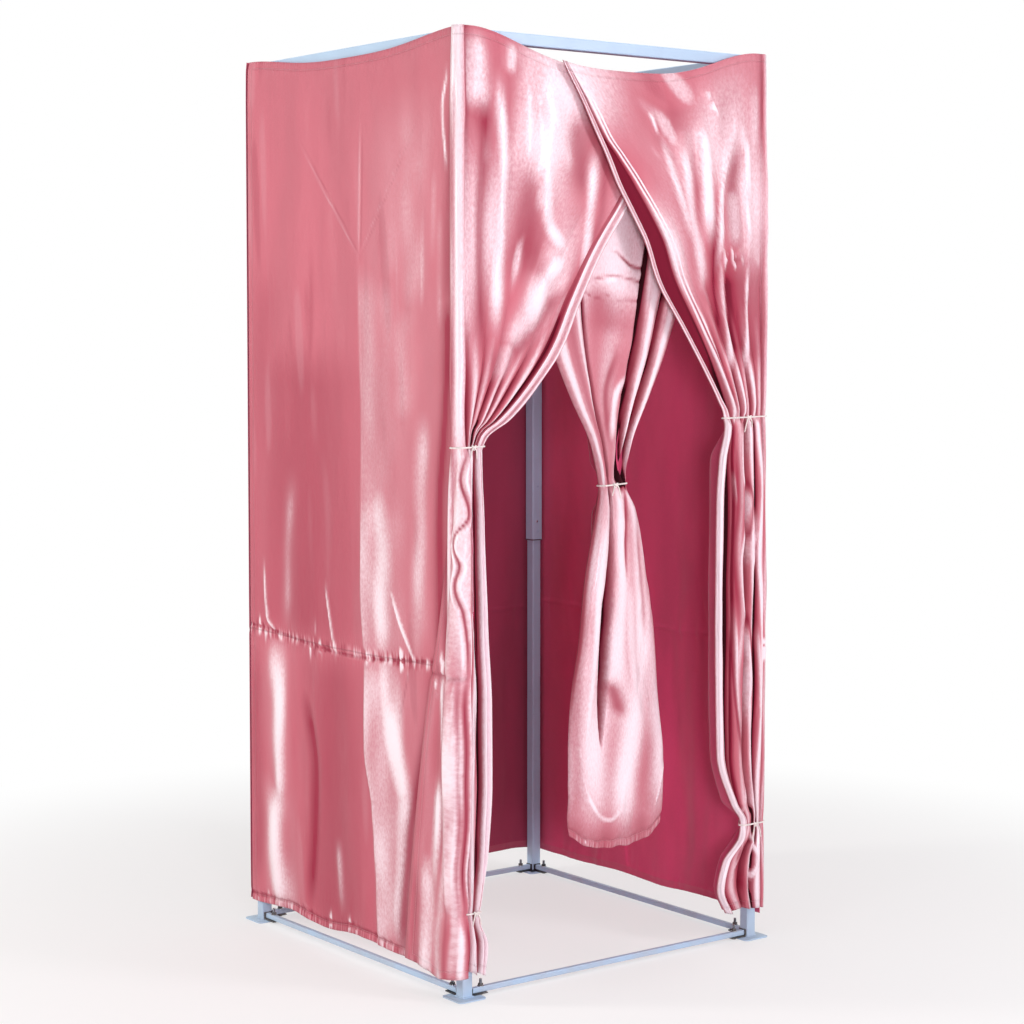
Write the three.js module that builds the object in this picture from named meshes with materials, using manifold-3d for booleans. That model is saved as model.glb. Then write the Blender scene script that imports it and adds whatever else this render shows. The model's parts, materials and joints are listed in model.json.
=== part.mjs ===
// A portable fitting room: a telescoping frame of square tube, hung with six panels of satin.
// Millimetres, +Z up, +X to the right along the front, +Y to the rear.
import * as THREE from "three";
import { mergeVertices } from "three/addons/utils/BufferGeometryUtils.js";
import Module from "manifold-3d";

const wasm = await Module();
wasm.setup();

// Driving sizes of the room
const ROOM_WIDTH = 800; // between post centres, left to right
const ROOM_DEPTH = 800; // between post centres, front to rear
const ROOM_HEIGHT = 2000;
const FIT_GAP = 0.3; // between pieces that touch
const OVERRUN = 2; // how far a cutting or joining solid runs past

// Posts
const LOWER_TUBE = 25;
const UPPER_TUBE = 30;
const TUBE_WALL = 1.2;
const TUBE_CORNER = 2.5;
const SLEEVE_HEIGHT = 851; // lower end of the upper post over the floor
const POST_OVERLAP = 300; // how far the lower post reaches into the upper one
const BUSH_FLANGE = 3;
const BUSH_PROUD = 0.8;
const BUSH_DEPTH = 15;

// Feet
const PLATE_SIZE = 70;
const PLATE_THICKNESS = 3;
const PLATE_CORNER = 10;
const BRACKET_THICKNESS = 2.5;
const BRACKET_ARM = 54;
const BRACKET_WIDTH = 20;
const BRACKET_RIM = 11;
const BRACKET_TAB = 16;
const FLOOR_BAR = 12;
const BOLT_PLACE = 42; // from the post's centre
const BOLT_RADIUS = 3;
const BOLT_TOP = 34;
const BOLT_HEAD_HEIGHT = 2.5;
const NUT_ACROSS = 10;
const NUT_HEIGHT = 5;

// Top frame
const TOP_BAR = 25;
const SPIGOT_LENGTH = 40;
const POCKET_CLOTH = 1.5;
const POCKET_SKIRT = 60;

// Snap buttons, measured from the lower end of the upper post
const BUTTON_HEIGHT = 48;
const LOW_HOLE_HEIGHT = 23;
const HIGH_HOLE_HEIGHT = 137;
const BUTTON_RADIUS = 3;
const BUTTON_TRAVEL = 3;
const BUTTON_PROUD = 1; // past the lower post's face when it is pressed in
const LEAF_THICKNESS = 1;
const LEAF_WIDTH = 10;
const LEAF_HEIGHT = 62;
const LEAF_FOOT = 8;

// Cloth
const CLOTH = 1.8;
const WALL_STANDOFF = 5; // cloth to post below the top hem
const STANDOFF_FADE = 90; // height over which the wall moves out to that
const WALL_HEM = 52;
const SIDE_SAG = 27;
const FRONT_SAG = 68;
const SAG_POWER = 1.5;
const SEAM_HEIGHT = 690;
const WALL_FOLD = 9;
const CURTAIN_FOLD = 26;
const INNER_FOLD = 20;
const LAYER_GAP = 0.6; // between the two front curtains
const INNER_SWING = 32; // how far the inner curtain hangs back from its hem
const CORD_RADIUS = 2;
const TIE_CORNER = 3;
const KNOT_RADIUS = 4.5;

// Resolution
const ROUND_STEPS = 2;
const PLATE_STEPS = 4;
const CYLINDER_SIDES = 10;
const HEXAGON_SIDES = 6;
const CORD_SIDES = 6;
const KNOT_SIDES = 8;
const KNOT_RINGS = 6;
const CURTAIN_COLUMNS = 20;
const WALL_COLUMNS = 20;
const INNER_COLUMNS = 16;
const MERGE_SHARE = 1e-7; // of the room's height, under which points count as one

const HALF_WIDTH = ROOM_WIDTH / 2;
const HALF_DEPTH = ROOM_DEPTH / 2;
const POST_FACE = UPPER_TUBE / 2;
const POCKET_FACE = POST_FACE + FIT_GAP + POCKET_CLOTH;
const POCKET_UNDER = ROOM_HEIGHT - POCKET_CLOTH;
const JOINT_TOP = POCKET_UNDER - FIT_GAP;
const JOINT_BASE = JOINT_TOP - UPPER_TUBE;
const TOP_BAR_HEIGHT = (JOINT_TOP + JOINT_BASE) / 2;
const LOWER_POST_BASE = PLATE_THICKNESS + FIT_GAP;
const LOWER_POST_TOP = SLEEVE_HEIGHT + POST_OVERLAP;
const BRACKET_BASE = PLATE_THICKNESS + FIT_GAP;
const BRACKET_TOP = BRACKET_BASE + BRACKET_THICKNESS;
const FLOOR_BAR_BASE = BRACKET_TOP + FIT_GAP;
const FLOOR_BAR_TOP = FLOOR_BAR_BASE + FLOOR_BAR;
const TAB_OUTER = LOWER_TUBE / 2 + FIT_GAP + BRACKET_THICKNESS;

const paint = (color, roughness = 0.45, metalness = 0.1) =>
  new THREE.MeshStandardMaterial({ color, roughness, metalness });
const PALE_PAINT = paint(0xc9dcea);
const BLACK_STEEL = paint(0x1c1c1f, 0.4, 0.6);
const BRIGHT_STEEL = paint(0xb9bcc2, 0.25, 0.95);
const GREY_PLASTIC = paint(0x77707f, 0.55, 0);
const ROSE_SATIN = paint(0xdf8991, 0.35, 0);
const WHITE_CORD = paint(0xf3ece4, 0.7, 0);

const room = new THREE.Group();

function addMesh(name, geometry, material) {
  const mesh = new THREE.Mesh(geometry, material);
  mesh.name = name;
  room.add(mesh);
  return mesh;
}

// Solids for the cuts and joins
function solidOf(geometry) {
  const bare = geometry.clone();
  bare.deleteAttribute("normal");
  bare.deleteAttribute("uv");
  const merged = mergeVertices(bare, ROOM_HEIGHT * MERGE_SHARE);
  return new wasm.Manifold(
    new wasm.Mesh({
      numProp: 3,
      vertProperties: merged.attributes.position.array,
      triVerts: new Uint32Array(merged.index.array),
    }),
  );
}

function geometryOf(solid) {
  const mesh = solid.getMesh();
  const geometry = new THREE.BufferGeometry();
  geometry.setAttribute("position", new THREE.BufferAttribute(mesh.vertProperties, 3));
  geometry.setIndex(new THREE.BufferAttribute(mesh.triVerts, 1));
  geometry.computeVertexNormals();
  return geometry;
}

// A box between two corners
function boxBetween([x0, y0, z0], [x1, y1, z1]) {
  const box = new THREE.BoxGeometry(Math.abs(x1 - x0), Math.abs(y1 - y0), Math.abs(z1 - z0));
  return box.translate((x0 + x1) / 2, (y0 + y1) / 2, (z0 + z1) / 2);
}

// A square outline with round corners, as a Shape or a Path
function roundSquare(outline, size, corner) {
  const half = size / 2;
  const flat = half - corner;
  outline.moveTo(flat, -half);
  outline.absarc(flat, -flat, corner, -Math.PI / 2, 0);
  outline.absarc(flat, flat, corner, 0, Math.PI / 2);
  outline.absarc(-flat, flat, corner, Math.PI / 2, Math.PI);
  outline.absarc(-flat, -flat, corner, Math.PI, Math.PI * 1.5);
  return outline;
}

function squareHole(size) {
  const half = size / 2;
  const hole = new THREE.Path();
  hole.moveTo(-half, -half);
  hole.lineTo(-half, half);
  hole.lineTo(half, half);
  hole.lineTo(half, -half);
  hole.closePath();
  return hole;
}

function extrude(shape, depth, steps = ROUND_STEPS) {
  return new THREE.ExtrudeGeometry(shape, { depth, bevelEnabled: false, curveSegments: steps });
}

// A square tube that stands on z = 0
function squareTube(size, wall, length, corner = TUBE_CORNER) {
  const shape = roundSquare(new THREE.Shape(), size, corner);
  shape.holes.push(squareHole(size - 2 * wall));
  return extrude(shape, length);
}

// A cylinder along Y, between two values of y
function cylinderAlongY(radius, y0, y1, x, z, sides = CYLINDER_SIDES) {
  const bar = new THREE.CylinderGeometry(radius, radius, Math.abs(y1 - y0), sides);
  return bar.translate(x, (y0 + y1) / 2, z);
}

// A cylinder or hexagon along Z
function uprightCylinder(radius, z0, z1, x = 0, y = 0, sides = CYLINDER_SIDES) {
  const bar = new THREE.CylinderGeometry(radius, radius, z1 - z0, sides);
  return bar.rotateX(Math.PI / 2).translate(x, y, (z0 + z1) / 2);
}

// What is drawn along Z is laid along X or along Y
const AXIS_X = new THREE.Vector3(1, 0, 0);
const AXIS_Y = new THREE.Vector3(0, 1, 0);
const AXIS_Z = new THREE.Vector3(0, 0, 1);
const ALONG_X = new THREE.Matrix4().makeBasis(AXIS_Y, AXIS_Z, AXIS_X);
const ALONG_Y = new THREE.Matrix4().makeBasis(AXIS_Z, AXIS_X, AXIS_Y);

const CORNERS = [
  { name: "front_left", sx: -1, sy: -1 },
  { name: "front_right", sx: 1, sy: -1 },
  { name: "rear_left", sx: -1, sy: 1 },
  { name: "rear_right", sx: 1, sy: 1 },
];

const SIDES = [
  { name: "front", turn: ALONG_X, spacing: ROOM_WIDTH, x: 0, y: -HALF_DEPTH },
  { name: "rear", turn: ALONG_X, spacing: ROOM_WIDTH, x: 0, y: HALF_DEPTH },
  { name: "left", turn: ALONG_Y, spacing: ROOM_DEPTH, x: -HALF_WIDTH, y: 0 },
  { name: "right", turn: ALONG_Y, spacing: ROOM_DEPTH, x: HALF_WIDTH, y: 0 },
];

// A corner piece is drawn with its arms toward +X and +Y, and mirrored to its corner
function placeAtCorner(solid, { sx, sy }) {
  const turned = solid.transform([-sx, 0, 0, 0, 0, -sy, 0, 0, 0, 0, 1, 0, 0, 0, 0, 1]);
  return turned.translate([sx * HALF_WIDTH, sy * HALF_DEPTH, 0]);
}

function footPlate() {
  const shape = roundSquare(new THREE.Shape(), PLATE_SIZE, PLATE_CORNER);
  return solidOf(extrude(shape, PLATE_THICKNESS, PLATE_STEPS));
}

function lowerPost() {
  const tube = squareTube(LOWER_TUBE, TUBE_WALL, LOWER_POST_TOP - LOWER_POST_BASE);
  const hole = cylinderAlongY(
    BUTTON_RADIUS + FIT_GAP, 0, LOWER_TUBE / 2 + OVERRUN, 0, SLEEVE_HEIGHT + BUTTON_HEIGHT,
  );
  return solidOf(tube.translate(0, 0, LOWER_POST_BASE)).subtract(solidOf(hole));
}

function upperPost() {
  const base = SLEEVE_HEIGHT + BUSH_FLANGE;
  let post = solidOf(squareTube(UPPER_TUBE, TUBE_WALL, JOINT_BASE - FIT_GAP - base).translate(0, 0, base));
  for (const height of [LOW_HOLE_HEIGHT, BUTTON_HEIGHT, HIGH_HOLE_HEIGHT]) {
    const radius = BUTTON_RADIUS + 2 * FIT_GAP;
    const hole = cylinderAlongY(radius, 0, UPPER_TUBE / 2 + OVERRUN, 0, SLEEVE_HEIGHT + height);
    post = post.subtract(solidOf(hole));
  }
  return post;
}

function postBush() {
  const bore = LOWER_TUBE + 2 * FIT_GAP;
  const neckSize = UPPER_TUBE - 2 * TUBE_WALL - 2 * FIT_GAP;
  const flangeSize = UPPER_TUBE + 2 * BUSH_PROUD;
  const neck = squareTube(neckSize, (neckSize - bore) / 2, BUSH_DEPTH + BUSH_FLANGE, FIT_GAP);
  const flange = squareTube(flangeSize, (flangeSize - bore) / 2, BUSH_FLANGE - FIT_GAP);
  return solidOf(neck).add(solidOf(flange)).translate([0, 0, SLEEVE_HEIGHT]);
}

function cornerBracket() {
  const near = LOWER_TUBE / 2 + FIT_GAP;
  const rim = near + BRACKET_RIM;
  const half = BRACKET_WIDTH / 2;
  const shape = new THREE.Shape();
  shape.moveTo(near, -half);
  shape.lineTo(BRACKET_ARM, -half);
  shape.lineTo(BRACKET_ARM, half);
  shape.lineTo(rim, half);
  shape.lineTo(rim, rim);
  shape.lineTo(half, rim);
  shape.lineTo(half, BRACKET_ARM);
  shape.lineTo(-half, BRACKET_ARM);
  shape.lineTo(-half, near);
  shape.lineTo(near, near);
  shape.closePath();
  const base = extrude(shape, BRACKET_THICKNESS).translate(0, 0, BRACKET_BASE);
  const tabTop = BRACKET_BASE + BRACKET_TAB;
  const tabX = boxBetween([near, -half, BRACKET_BASE], [TAB_OUTER, half, tabTop]);
  const tabY = boxBetween([-half, near, BRACKET_BASE], [half, TAB_OUTER, tabTop]);
  let bracket = solidOf(base).add(solidOf(tabX)).add(solidOf(tabY));
  const holeRadius = BOLT_RADIUS + FIT_GAP;
  for (const [x, y] of [[BOLT_PLACE, 0], [0, BOLT_PLACE]]) {
    const hole = uprightCylinder(holeRadius, BRACKET_BASE - OVERRUN, BRACKET_TOP + OVERRUN, x, y);
    bracket = bracket.subtract(solidOf(hole));
  }
  return bracket;
}

// A foot bolt: head under the bracket, shank through bracket and bar, and the nut run down on it
function footBolt(x, y) {
  const headTop = BRACKET_BASE - FIT_GAP;
  const nutBase = FLOOR_BAR_TOP + FIT_GAP;
  const hexRadius = NUT_ACROSS / 2 / Math.cos(Math.PI / HEXAGON_SIDES);
  const shank = uprightCylinder(BOLT_RADIUS, headTop - BOLT_HEAD_HEIGHT / 2, BOLT_TOP, x, y);
  const head = uprightCylinder(hexRadius, headTop - BOLT_HEAD_HEIGHT, headTop, x, y, HEXAGON_SIDES);
  const nut = uprightCylinder(hexRadius, nutBase, nutBase + NUT_HEIGHT, x, y, HEXAGON_SIDES);
  return solidOf(shank).add(solidOf(head)).add(solidOf(nut));
}

// A three-way joint: a block, a spigot down into the upper post and one into each top bar
function cornerJoint() {
  const half = UPPER_TUBE / 2;
  const down = UPPER_TUBE / 2 - TUBE_WALL - FIT_GAP;
  const across = TOP_BAR / 2 - TUBE_WALL - FIT_GAP;
  const low = TOP_BAR_HEIGHT - across;
  const high = TOP_BAR_HEIGHT + across;
  const block = boxBetween([-half, -half, JOINT_BASE], [half, half, JOINT_TOP]);
  const plug = boxBetween([-down, -down, JOINT_BASE - SPIGOT_LENGTH], [down, down, JOINT_BASE + OVERRUN]);
  const armX = boxBetween([0, -across, low], [half + SPIGOT_LENGTH, across, high]);
  const armY = boxBetween([-across, 0, low], [across, half + SPIGOT_LENGTH, high]);
  return solidOf(block).add(solidOf(plug)).add(solidOf(armX)).add(solidOf(armY));
}

// A sewn pocket over the post top, open toward the two bars
function cornerPocket() {
  const inner = POST_FACE + FIT_GAP;
  const low = ROOM_HEIGHT - POCKET_SKIRT;
  const outside = boxBetween([-POCKET_FACE, -POCKET_FACE, low], [POST_FACE, POST_FACE, ROOM_HEIGHT]);
  const inside = boxBetween([-inner, -inner, low - OVERRUN], [UPPER_TUBE, UPPER_TUBE, POCKET_UNDER]);
  return solidOf(outside).subtract(solidOf(inside));
}

// A snap button: the pin and its V of spring leaf, pressed in flush enough for the posts to slide
function snapButton() {
  const wallInside = LOWER_TUBE / 2 - TUBE_WALL;
  const pinEnd = LOWER_TUBE / 2 + BUTTON_PROUD;
  const leafFace = wallInside - FIT_GAP - BUTTON_TRAVEL;
  const leafBack = leafFace - LEAF_THICKNESS;
  const farFace = wallInside - FIT_GAP;
  const shape = new THREE.Shape();
  shape.moveTo(leafFace, -LEAF_FOOT);
  shape.lineTo(leafFace, LEAF_HEIGHT);
  shape.lineTo(leafBack, LEAF_HEIGHT);
  shape.lineTo(-farFace, LEAF_FOOT);
  shape.lineTo(-farFace + LEAF_THICKNESS, LEAF_FOOT - LEAF_THICKNESS);
  shape.lineTo(leafBack, LEAF_HEIGHT - LEAF_FOOT);
  shape.lineTo(leafBack, -LEAF_FOOT);
  shape.closePath();
  const height = SLEEVE_HEIGHT + BUTTON_HEIGHT;
  const leaf = extrude(shape, LEAF_WIDTH).translate(0, 0, -LEAF_WIDTH / 2).applyMatrix4(ALONG_X);
  const pin = cylinderAlongY(BUTTON_RADIUS, leafBack, pinEnd, 0, 0);
  return solidOf(leaf).add(solidOf(pin)).translate([0, 0, height]);
}

for (const corner of CORNERS) {
  const put = (name, solid, material) =>
    addMesh(name + "_" + corner.name, geometryOf(placeAtCorner(solid, corner)), material);
  put("foot_plate", footPlate(), PALE_PAINT);
  put("lower_post", lowerPost(), PALE_PAINT);
  put("corner_bracket", cornerBracket(), BLACK_STEEL);
  put("foot_bolt_x", footBolt(BOLT_PLACE, 0), BLACK_STEEL);
  put("foot_bolt_y", footBolt(0, BOLT_PLACE), BLACK_STEEL);
  put("upper_post", upperPost(), PALE_PAINT);
  put("post_bush", postBush(), GREY_PLASTIC);
  put("corner_joint", cornerJoint(), PALE_PAINT);
  put("corner_pocket", cornerPocket(), ROSE_SATIN);
  put("snap_button", snapButton(), BRIGHT_STEEL);
}

// A square tube between two posts, short of each post's centre by inset
function barBetween(side, size, inset, height) {
  const length = side.spacing - 2 * inset;
  const tube = squareTube(size, TUBE_WALL, length).translate(0, 0, -length / 2);
  return solidOf(tube.applyMatrix4(side.turn).translate(side.x, side.y, height));
}

function floorBar(side) {
  let bar = barBetween(side, FLOOR_BAR, TAB_OUTER + FIT_GAP, FLOOR_BAR_BASE + FLOOR_BAR / 2);
  for (const way of [-1, 1]) {
    const out = way * (side.spacing / 2 - BOLT_PLACE);
    const x = side.x === 0 ? out : side.x;
    const y = side.y === 0 ? out : side.y;
    const radius = BOLT_RADIUS + FIT_GAP;
    const hole = uprightCylinder(radius, FLOOR_BAR_BASE - OVERRUN, FLOOR_BAR_TOP + OVERRUN, x, y);
    bar = bar.subtract(solidOf(hole));
  }
  return bar;
}

for (const side of SIDES) {
  const topBar = barBetween(side, TOP_BAR, POST_FACE + FIT_GAP, TOP_BAR_HEIGHT);
  addMesh("floor_bar_" + side.name, geometryOf(floorBar(side)), PALE_PAINT);
  addMesh("top_bar_" + side.name, geometryOf(topBar), PALE_PAINT);
}

// Cloth

const smooth = (low, high, value) => THREE.MathUtils.smoothstep(value, low, high);
const mix = THREE.MathUtils.lerp;

// How far a top hem hangs below the post tops, from -1 at one post to 1 at the other
function hemSag(place, sag) {
  const reach = Math.min(Math.abs(place), 1);
  return (sag / 2) * (1 + Math.cos(Math.PI * reach ** SAG_POWER));
}

// A closed sheet of cloth from rows of points on its middle, thickened square to each row in plan
function clothSheet(rows) {
  const height = rows.length;
  const width = rows[0].length;
  const points = [];
  for (const half of [CLOTH / 2, -CLOTH / 2]) {
    for (const row of rows) {
      row.forEach((point, i) => {
        const before = row[Math.max(i - 1, 0)];
        const after = row[Math.min(i + 1, width - 1)];
        const across = new THREE.Vector3(after.x - before.x, after.y - before.y, 0).normalize();
        points.push(point.x + across.y * half, point.y - across.x * half, point.z);
      });
    }
  }
  const at = (layer, j, i) => layer * width * height + j * width + i;
  const index = [];
  const quad = (a, b, c, d) => index.push(a, b, c, a, c, d);
  for (let j = 0; j + 1 < height; j++) {
    for (let i = 0; i + 1 < width; i++) {
      quad(at(0, j, i), at(0, j + 1, i), at(0, j + 1, i + 1), at(0, j, i + 1));
      quad(at(1, j, i), at(1, j, i + 1), at(1, j + 1, i + 1), at(1, j + 1, i));
    }
    quad(at(0, j, 0), at(1, j, 0), at(1, j + 1, 0), at(0, j + 1, 0));
    quad(at(0, j, width - 1), at(0, j + 1, width - 1), at(1, j + 1, width - 1), at(1, j, width - 1));
  }
  for (let i = 0; i + 1 < width; i++) {
    quad(at(0, 0, i), at(0, 0, i + 1), at(1, 0, i + 1), at(1, 0, i));
    const last = height - 1;
    quad(at(0, last, i), at(1, last, i), at(1, last, i + 1), at(0, last, i + 1));
  }
  const geometry = new THREE.BufferGeometry();
  geometry.setAttribute("position", new THREE.Float32BufferAttribute(points, 3));
  geometry.setIndex(index);
  geometry.computeVertexNormals();
  return geometry;
}

const CURTAIN_FACE = POCKET_FACE + FIT_GAP;
const WALL_END = LOWER_TUBE / 2 - 2 * FIT_GAP;
const SEAM_SHARE = (SEAM_HEIGHT - WALL_HEM) / (ROOM_HEIGHT - WALL_HEM);
const SEAM_BESIDE_SHARE = 0.02;

// Depth of a wall's folds down its height, as shares of the height and of WALL_FOLD
const WALL_FOLD_SHARES = [
  [1, 0.1],
  [0.93, 0.35],
  [0.75, 0.7],
  [0.55, 0.9],
  [SEAM_SHARE + SEAM_BESIDE_SHARE, 0.75],
  [SEAM_SHARE, 0.3],
  [SEAM_SHARE - SEAM_BESIDE_SHARE, 0.8],
  [0.15, 1.1],
  [0, 1.25],
];

// A wall of cloth with soft upright folds: width along it, folds outward from the given face
function wallRows(length, folds, phase) {
  const rows = [];
  for (const [heightShare, foldShare] of WALL_FOLD_SHARES) {
    const row = [];
    const nominal = mix(WALL_HEM, ROOM_HEIGHT, heightShare);
    const moved = smooth(0, STANDOFF_FADE, ROOM_HEIGHT - nominal);
    const out = CURTAIN_FACE + (WALL_STANDOFF - POCKET_CLOTH) * moved;
    for (let i = 0; i <= WALL_COLUMNS; i++) {
      const place = mix(-1, 1, i / WALL_COLUMNS);
      const wave = (1 - Math.cos(Math.PI * folds * (place + 1) + phase * smooth(-1, 0, place))) / 2;
      const sag = hemSag(place, SIDE_SAG) * smooth(0, 1, heightShare);
      const fold = WALL_FOLD * foldShare * wave;
      row.push({ along: (place * length) / 2, out: out + CLOTH / 2 + fold, z: nominal - sag });
    }
    rows.push(row);
  }
  return rows;
}

const WALLS = [
  { name: "left_wall", sx: -1, sy: 0, folds: 5, phase: 1 },
  { name: "right_wall", sx: 1, sy: 0, folds: 5, phase: 2 },
  { name: "rear_wall", sx: 0, sy: 1, folds: 5, phase: 0 },
];

for (const wall of WALLS) {
  const sideways = wall.sx !== 0;
  const length = sideways ? ROOM_DEPTH + 2 * WALL_END : ROOM_WIDTH + 2 * POST_FACE;
  const rows = wallRows(length, wall.folds, wall.phase).map((row) =>
    row.map(({ along, out, z }) =>
      sideways
        ? new THREE.Vector3(wall.sx * (HALF_WIDTH + out), wall.sx * along, z)
        : new THREE.Vector3(-along, HALF_DEPTH + out, z),
    ),
  );
  addMesh(wall.name, clothSheet(rows), ROSE_SATIN);
}

// Rows of a front curtain from the top hem to the bottom: height as a share of the room's, the
// reach of its lead edge in from the post and of its fixed edge out from it as shares of the
// width, and the depth of its pleats as a share of CURTAIN_FOLD
const LEFT_CURTAIN_SHARES = [
  [1, 0.72, 0.022, 0.08],
  [0.915, 0.644, 0.022, 0.15],
  [0.83, 0.519, 0.022, 0.22],
  [0.773, 0.431, 0.022, 0.4],
  [0.72, 0.353, 0.022, 0.55],
  [0.672, 0.295, 0.022, 0.65],
  [0.63, 0.211, 0.02, 0.7],
  [0.594, 0.112, 0.015, 0.75],
  [0.576, 0.043, 0.0125, 0.72],
  [0.57, 0.043, 0.0125, 0.72],
  [0.54, 0.055, 0.04, 0.85],
  [0.4, 0.071, 0.06, 1],
  [0.25, 0.069, 0.06, 1],
  [0.13, 0.045, 0.055, 0.85],
  [0.0955, 0.025, 0.05, 0.6],
  [0.0895, 0.025, 0.05, 0.6],
  [0.06, 0.055, 0.06, 0.8],
  [0.03, 0.0375, 0.055, 0.8],
];
const RIGHT_CURTAIN_SHARES = [
  [1, 0.679, 0.022, 0.08],
  [0.915, 0.605, 0.022, 0.15],
  [0.83, 0.481, 0.022, 0.22],
  [0.731, 0.375, 0.022, 0.5],
  [0.6875, 0.274, 0.02, 0.65],
  [0.64, 0.1975, 0.015, 0.75],
  [0.61, 0.14, 0.01, 0.8],
  [0.598, 0.13, 0.006, 0.75],
  [0.592, 0.13, 0.006, 0.75],
  [0.57, 0.1475, 0.012, 0.85],
  [0.5, 0.166, 0.02, 1],
  [0.38, 0.167, 0.03, 1],
  [0.22, 0.1625, 0.035, 1],
  [0.155, 0.1, 0.02, 0.8],
  [0.137, 0.0625, 0.006, 0.6],
  [0.131, 0.0625, 0.006, 0.6],
  [0.095, 0.1075, 0.028, 0.85],
  [0.0375, 0.0775, 0.012, 0.8],
];
// The right curtain hangs in front of the left one above these shares of the height, and is
// back on its post within this share of its own width
const CROSSING_SHARES = [0.76, 0.83];
const SEATED_SHARE = 0.4;

function curtainRows(shares, way, layer) {
  return shares.map(([heightShare, leadShare, outerShare, foldShare]) => {
    const fold = (CURTAIN_FOLD * foldShare) / 2;
    const row = [];
    for (let i = 0; i <= CURTAIN_COLUMNS; i++) {
      const across = i / CURTAIN_COLUMNS;
      const reach = ROOM_WIDTH * mix(-outerShare, leadShare, across);
      const x = way * (HALF_WIDTH - reach);
      const front = layer * smooth(...CROSSING_SHARES, heightShare) * smooth(0, SEATED_SHARE, across);
      const pleat = i % 2 ? fold : -fold;
      const y = -(HALF_DEPTH + CURTAIN_FACE + CLOTH / 2 + front + fold + pleat);
      const sag = hemSag(x / HALF_WIDTH, FRONT_SAG) * smooth(CROSSING_SHARES[0], 1, heightShare);
      row.push(new THREE.Vector3(x, y, ROOM_HEIGHT * heightShare - sag));
    }
    return way < 0 ? row : row.reverse();
  });
}

const RIGHT_LAYER = CURTAIN_FOLD * LEFT_CURTAIN_SHARES[2][3] + CLOTH + LAYER_GAP;
addMesh("left_curtain", clothSheet(curtainRows(LEFT_CURTAIN_SHARES, -1, 0)), ROSE_SATIN);
addMesh("right_curtain", clothSheet(curtainRows(RIGHT_CURTAIN_SHARES, 1, RIGHT_LAYER)), ROSE_SATIN);

// Rows of the inner curtain: height, middle and half width as shares, how far it has swung back
// from the hem as a share of INNER_SWING, and the depth of its pleats as a share of INNER_FOLD
const INNER_CURTAIN_SHARES = [
  [0.992, 0, 0.475, 0, 0.05],
  [0.95, 0, 0.44, 0.1, 0.1],
  [0.9, 0.003, 0.39, 0.3, 0.2],
  [0.82, 0.006, 0.32, 0.5, 0.4],
  [0.74, 0.009, 0.26, 0.7, 0.6],
  [0.67, 0.012, 0.2, 0.85, 0.8],
  [0.6, 0.012, 0.13, 0.95, 1],
  [0.56, 0.01, 0.08, 1, 1],
  [0.528, 0.009, 0.052, 1, 0.9],
  [0.522, 0.009, 0.052, 1, 0.9],
  [0.48, 0.01, 0.08, 1, 1],
  [0.38, 0.012, 0.125, 1, 1.1],
  [0.26, 0.018, 0.16, 1, 1.1],
  [0.17, 0.025, 0.175, 1, 0.9],
  [0.135, 0.025, 0.165, 1, 0.8],
];
const INNER_HEM_CURVE = 38; // how much higher the hem is at its two ends
const HEM_POWER = 4;
const HEM_START_SHARE = 0.7; // of the rows, below which the hem's curve shows

function innerCurtainRows() {
  const start = HALF_DEPTH + CURTAIN_FACE - FIT_GAP - CLOTH / 2;
  const last = INNER_CURTAIN_SHARES.length - 1;
  return INNER_CURTAIN_SHARES.map(([heightShare, middleShare, halfShare, swingShare, foldShare], j) => {
    const fold = (INNER_FOLD * foldShare) / 2;
    const row = [];
    for (let i = 0; i <= INNER_COLUMNS; i++) {
      const place = mix(-1, 1, i / INNER_COLUMNS);
      const x = ROOM_WIDTH * (middleShare + halfShare * place);
      const pleat = i % 2 ? fold : -fold;
      const y = -(start - INNER_SWING * swingShare - fold + pleat);
      const sag = hemSag(x / HALF_WIDTH, FRONT_SAG) * smooth(CROSSING_SHARES[0], 1, heightShare);
      const lift = INNER_HEM_CURVE * place ** HEM_POWER * smooth(HEM_START_SHARE, 1, j / last);
      row.push(new THREE.Vector3(x, y, ROOM_HEIGHT * heightShare - sag + lift));
    }
    return row;
  });
}

addMesh("inner_curtain", clothSheet(innerCurtainRows()), ROSE_SATIN);

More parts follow.
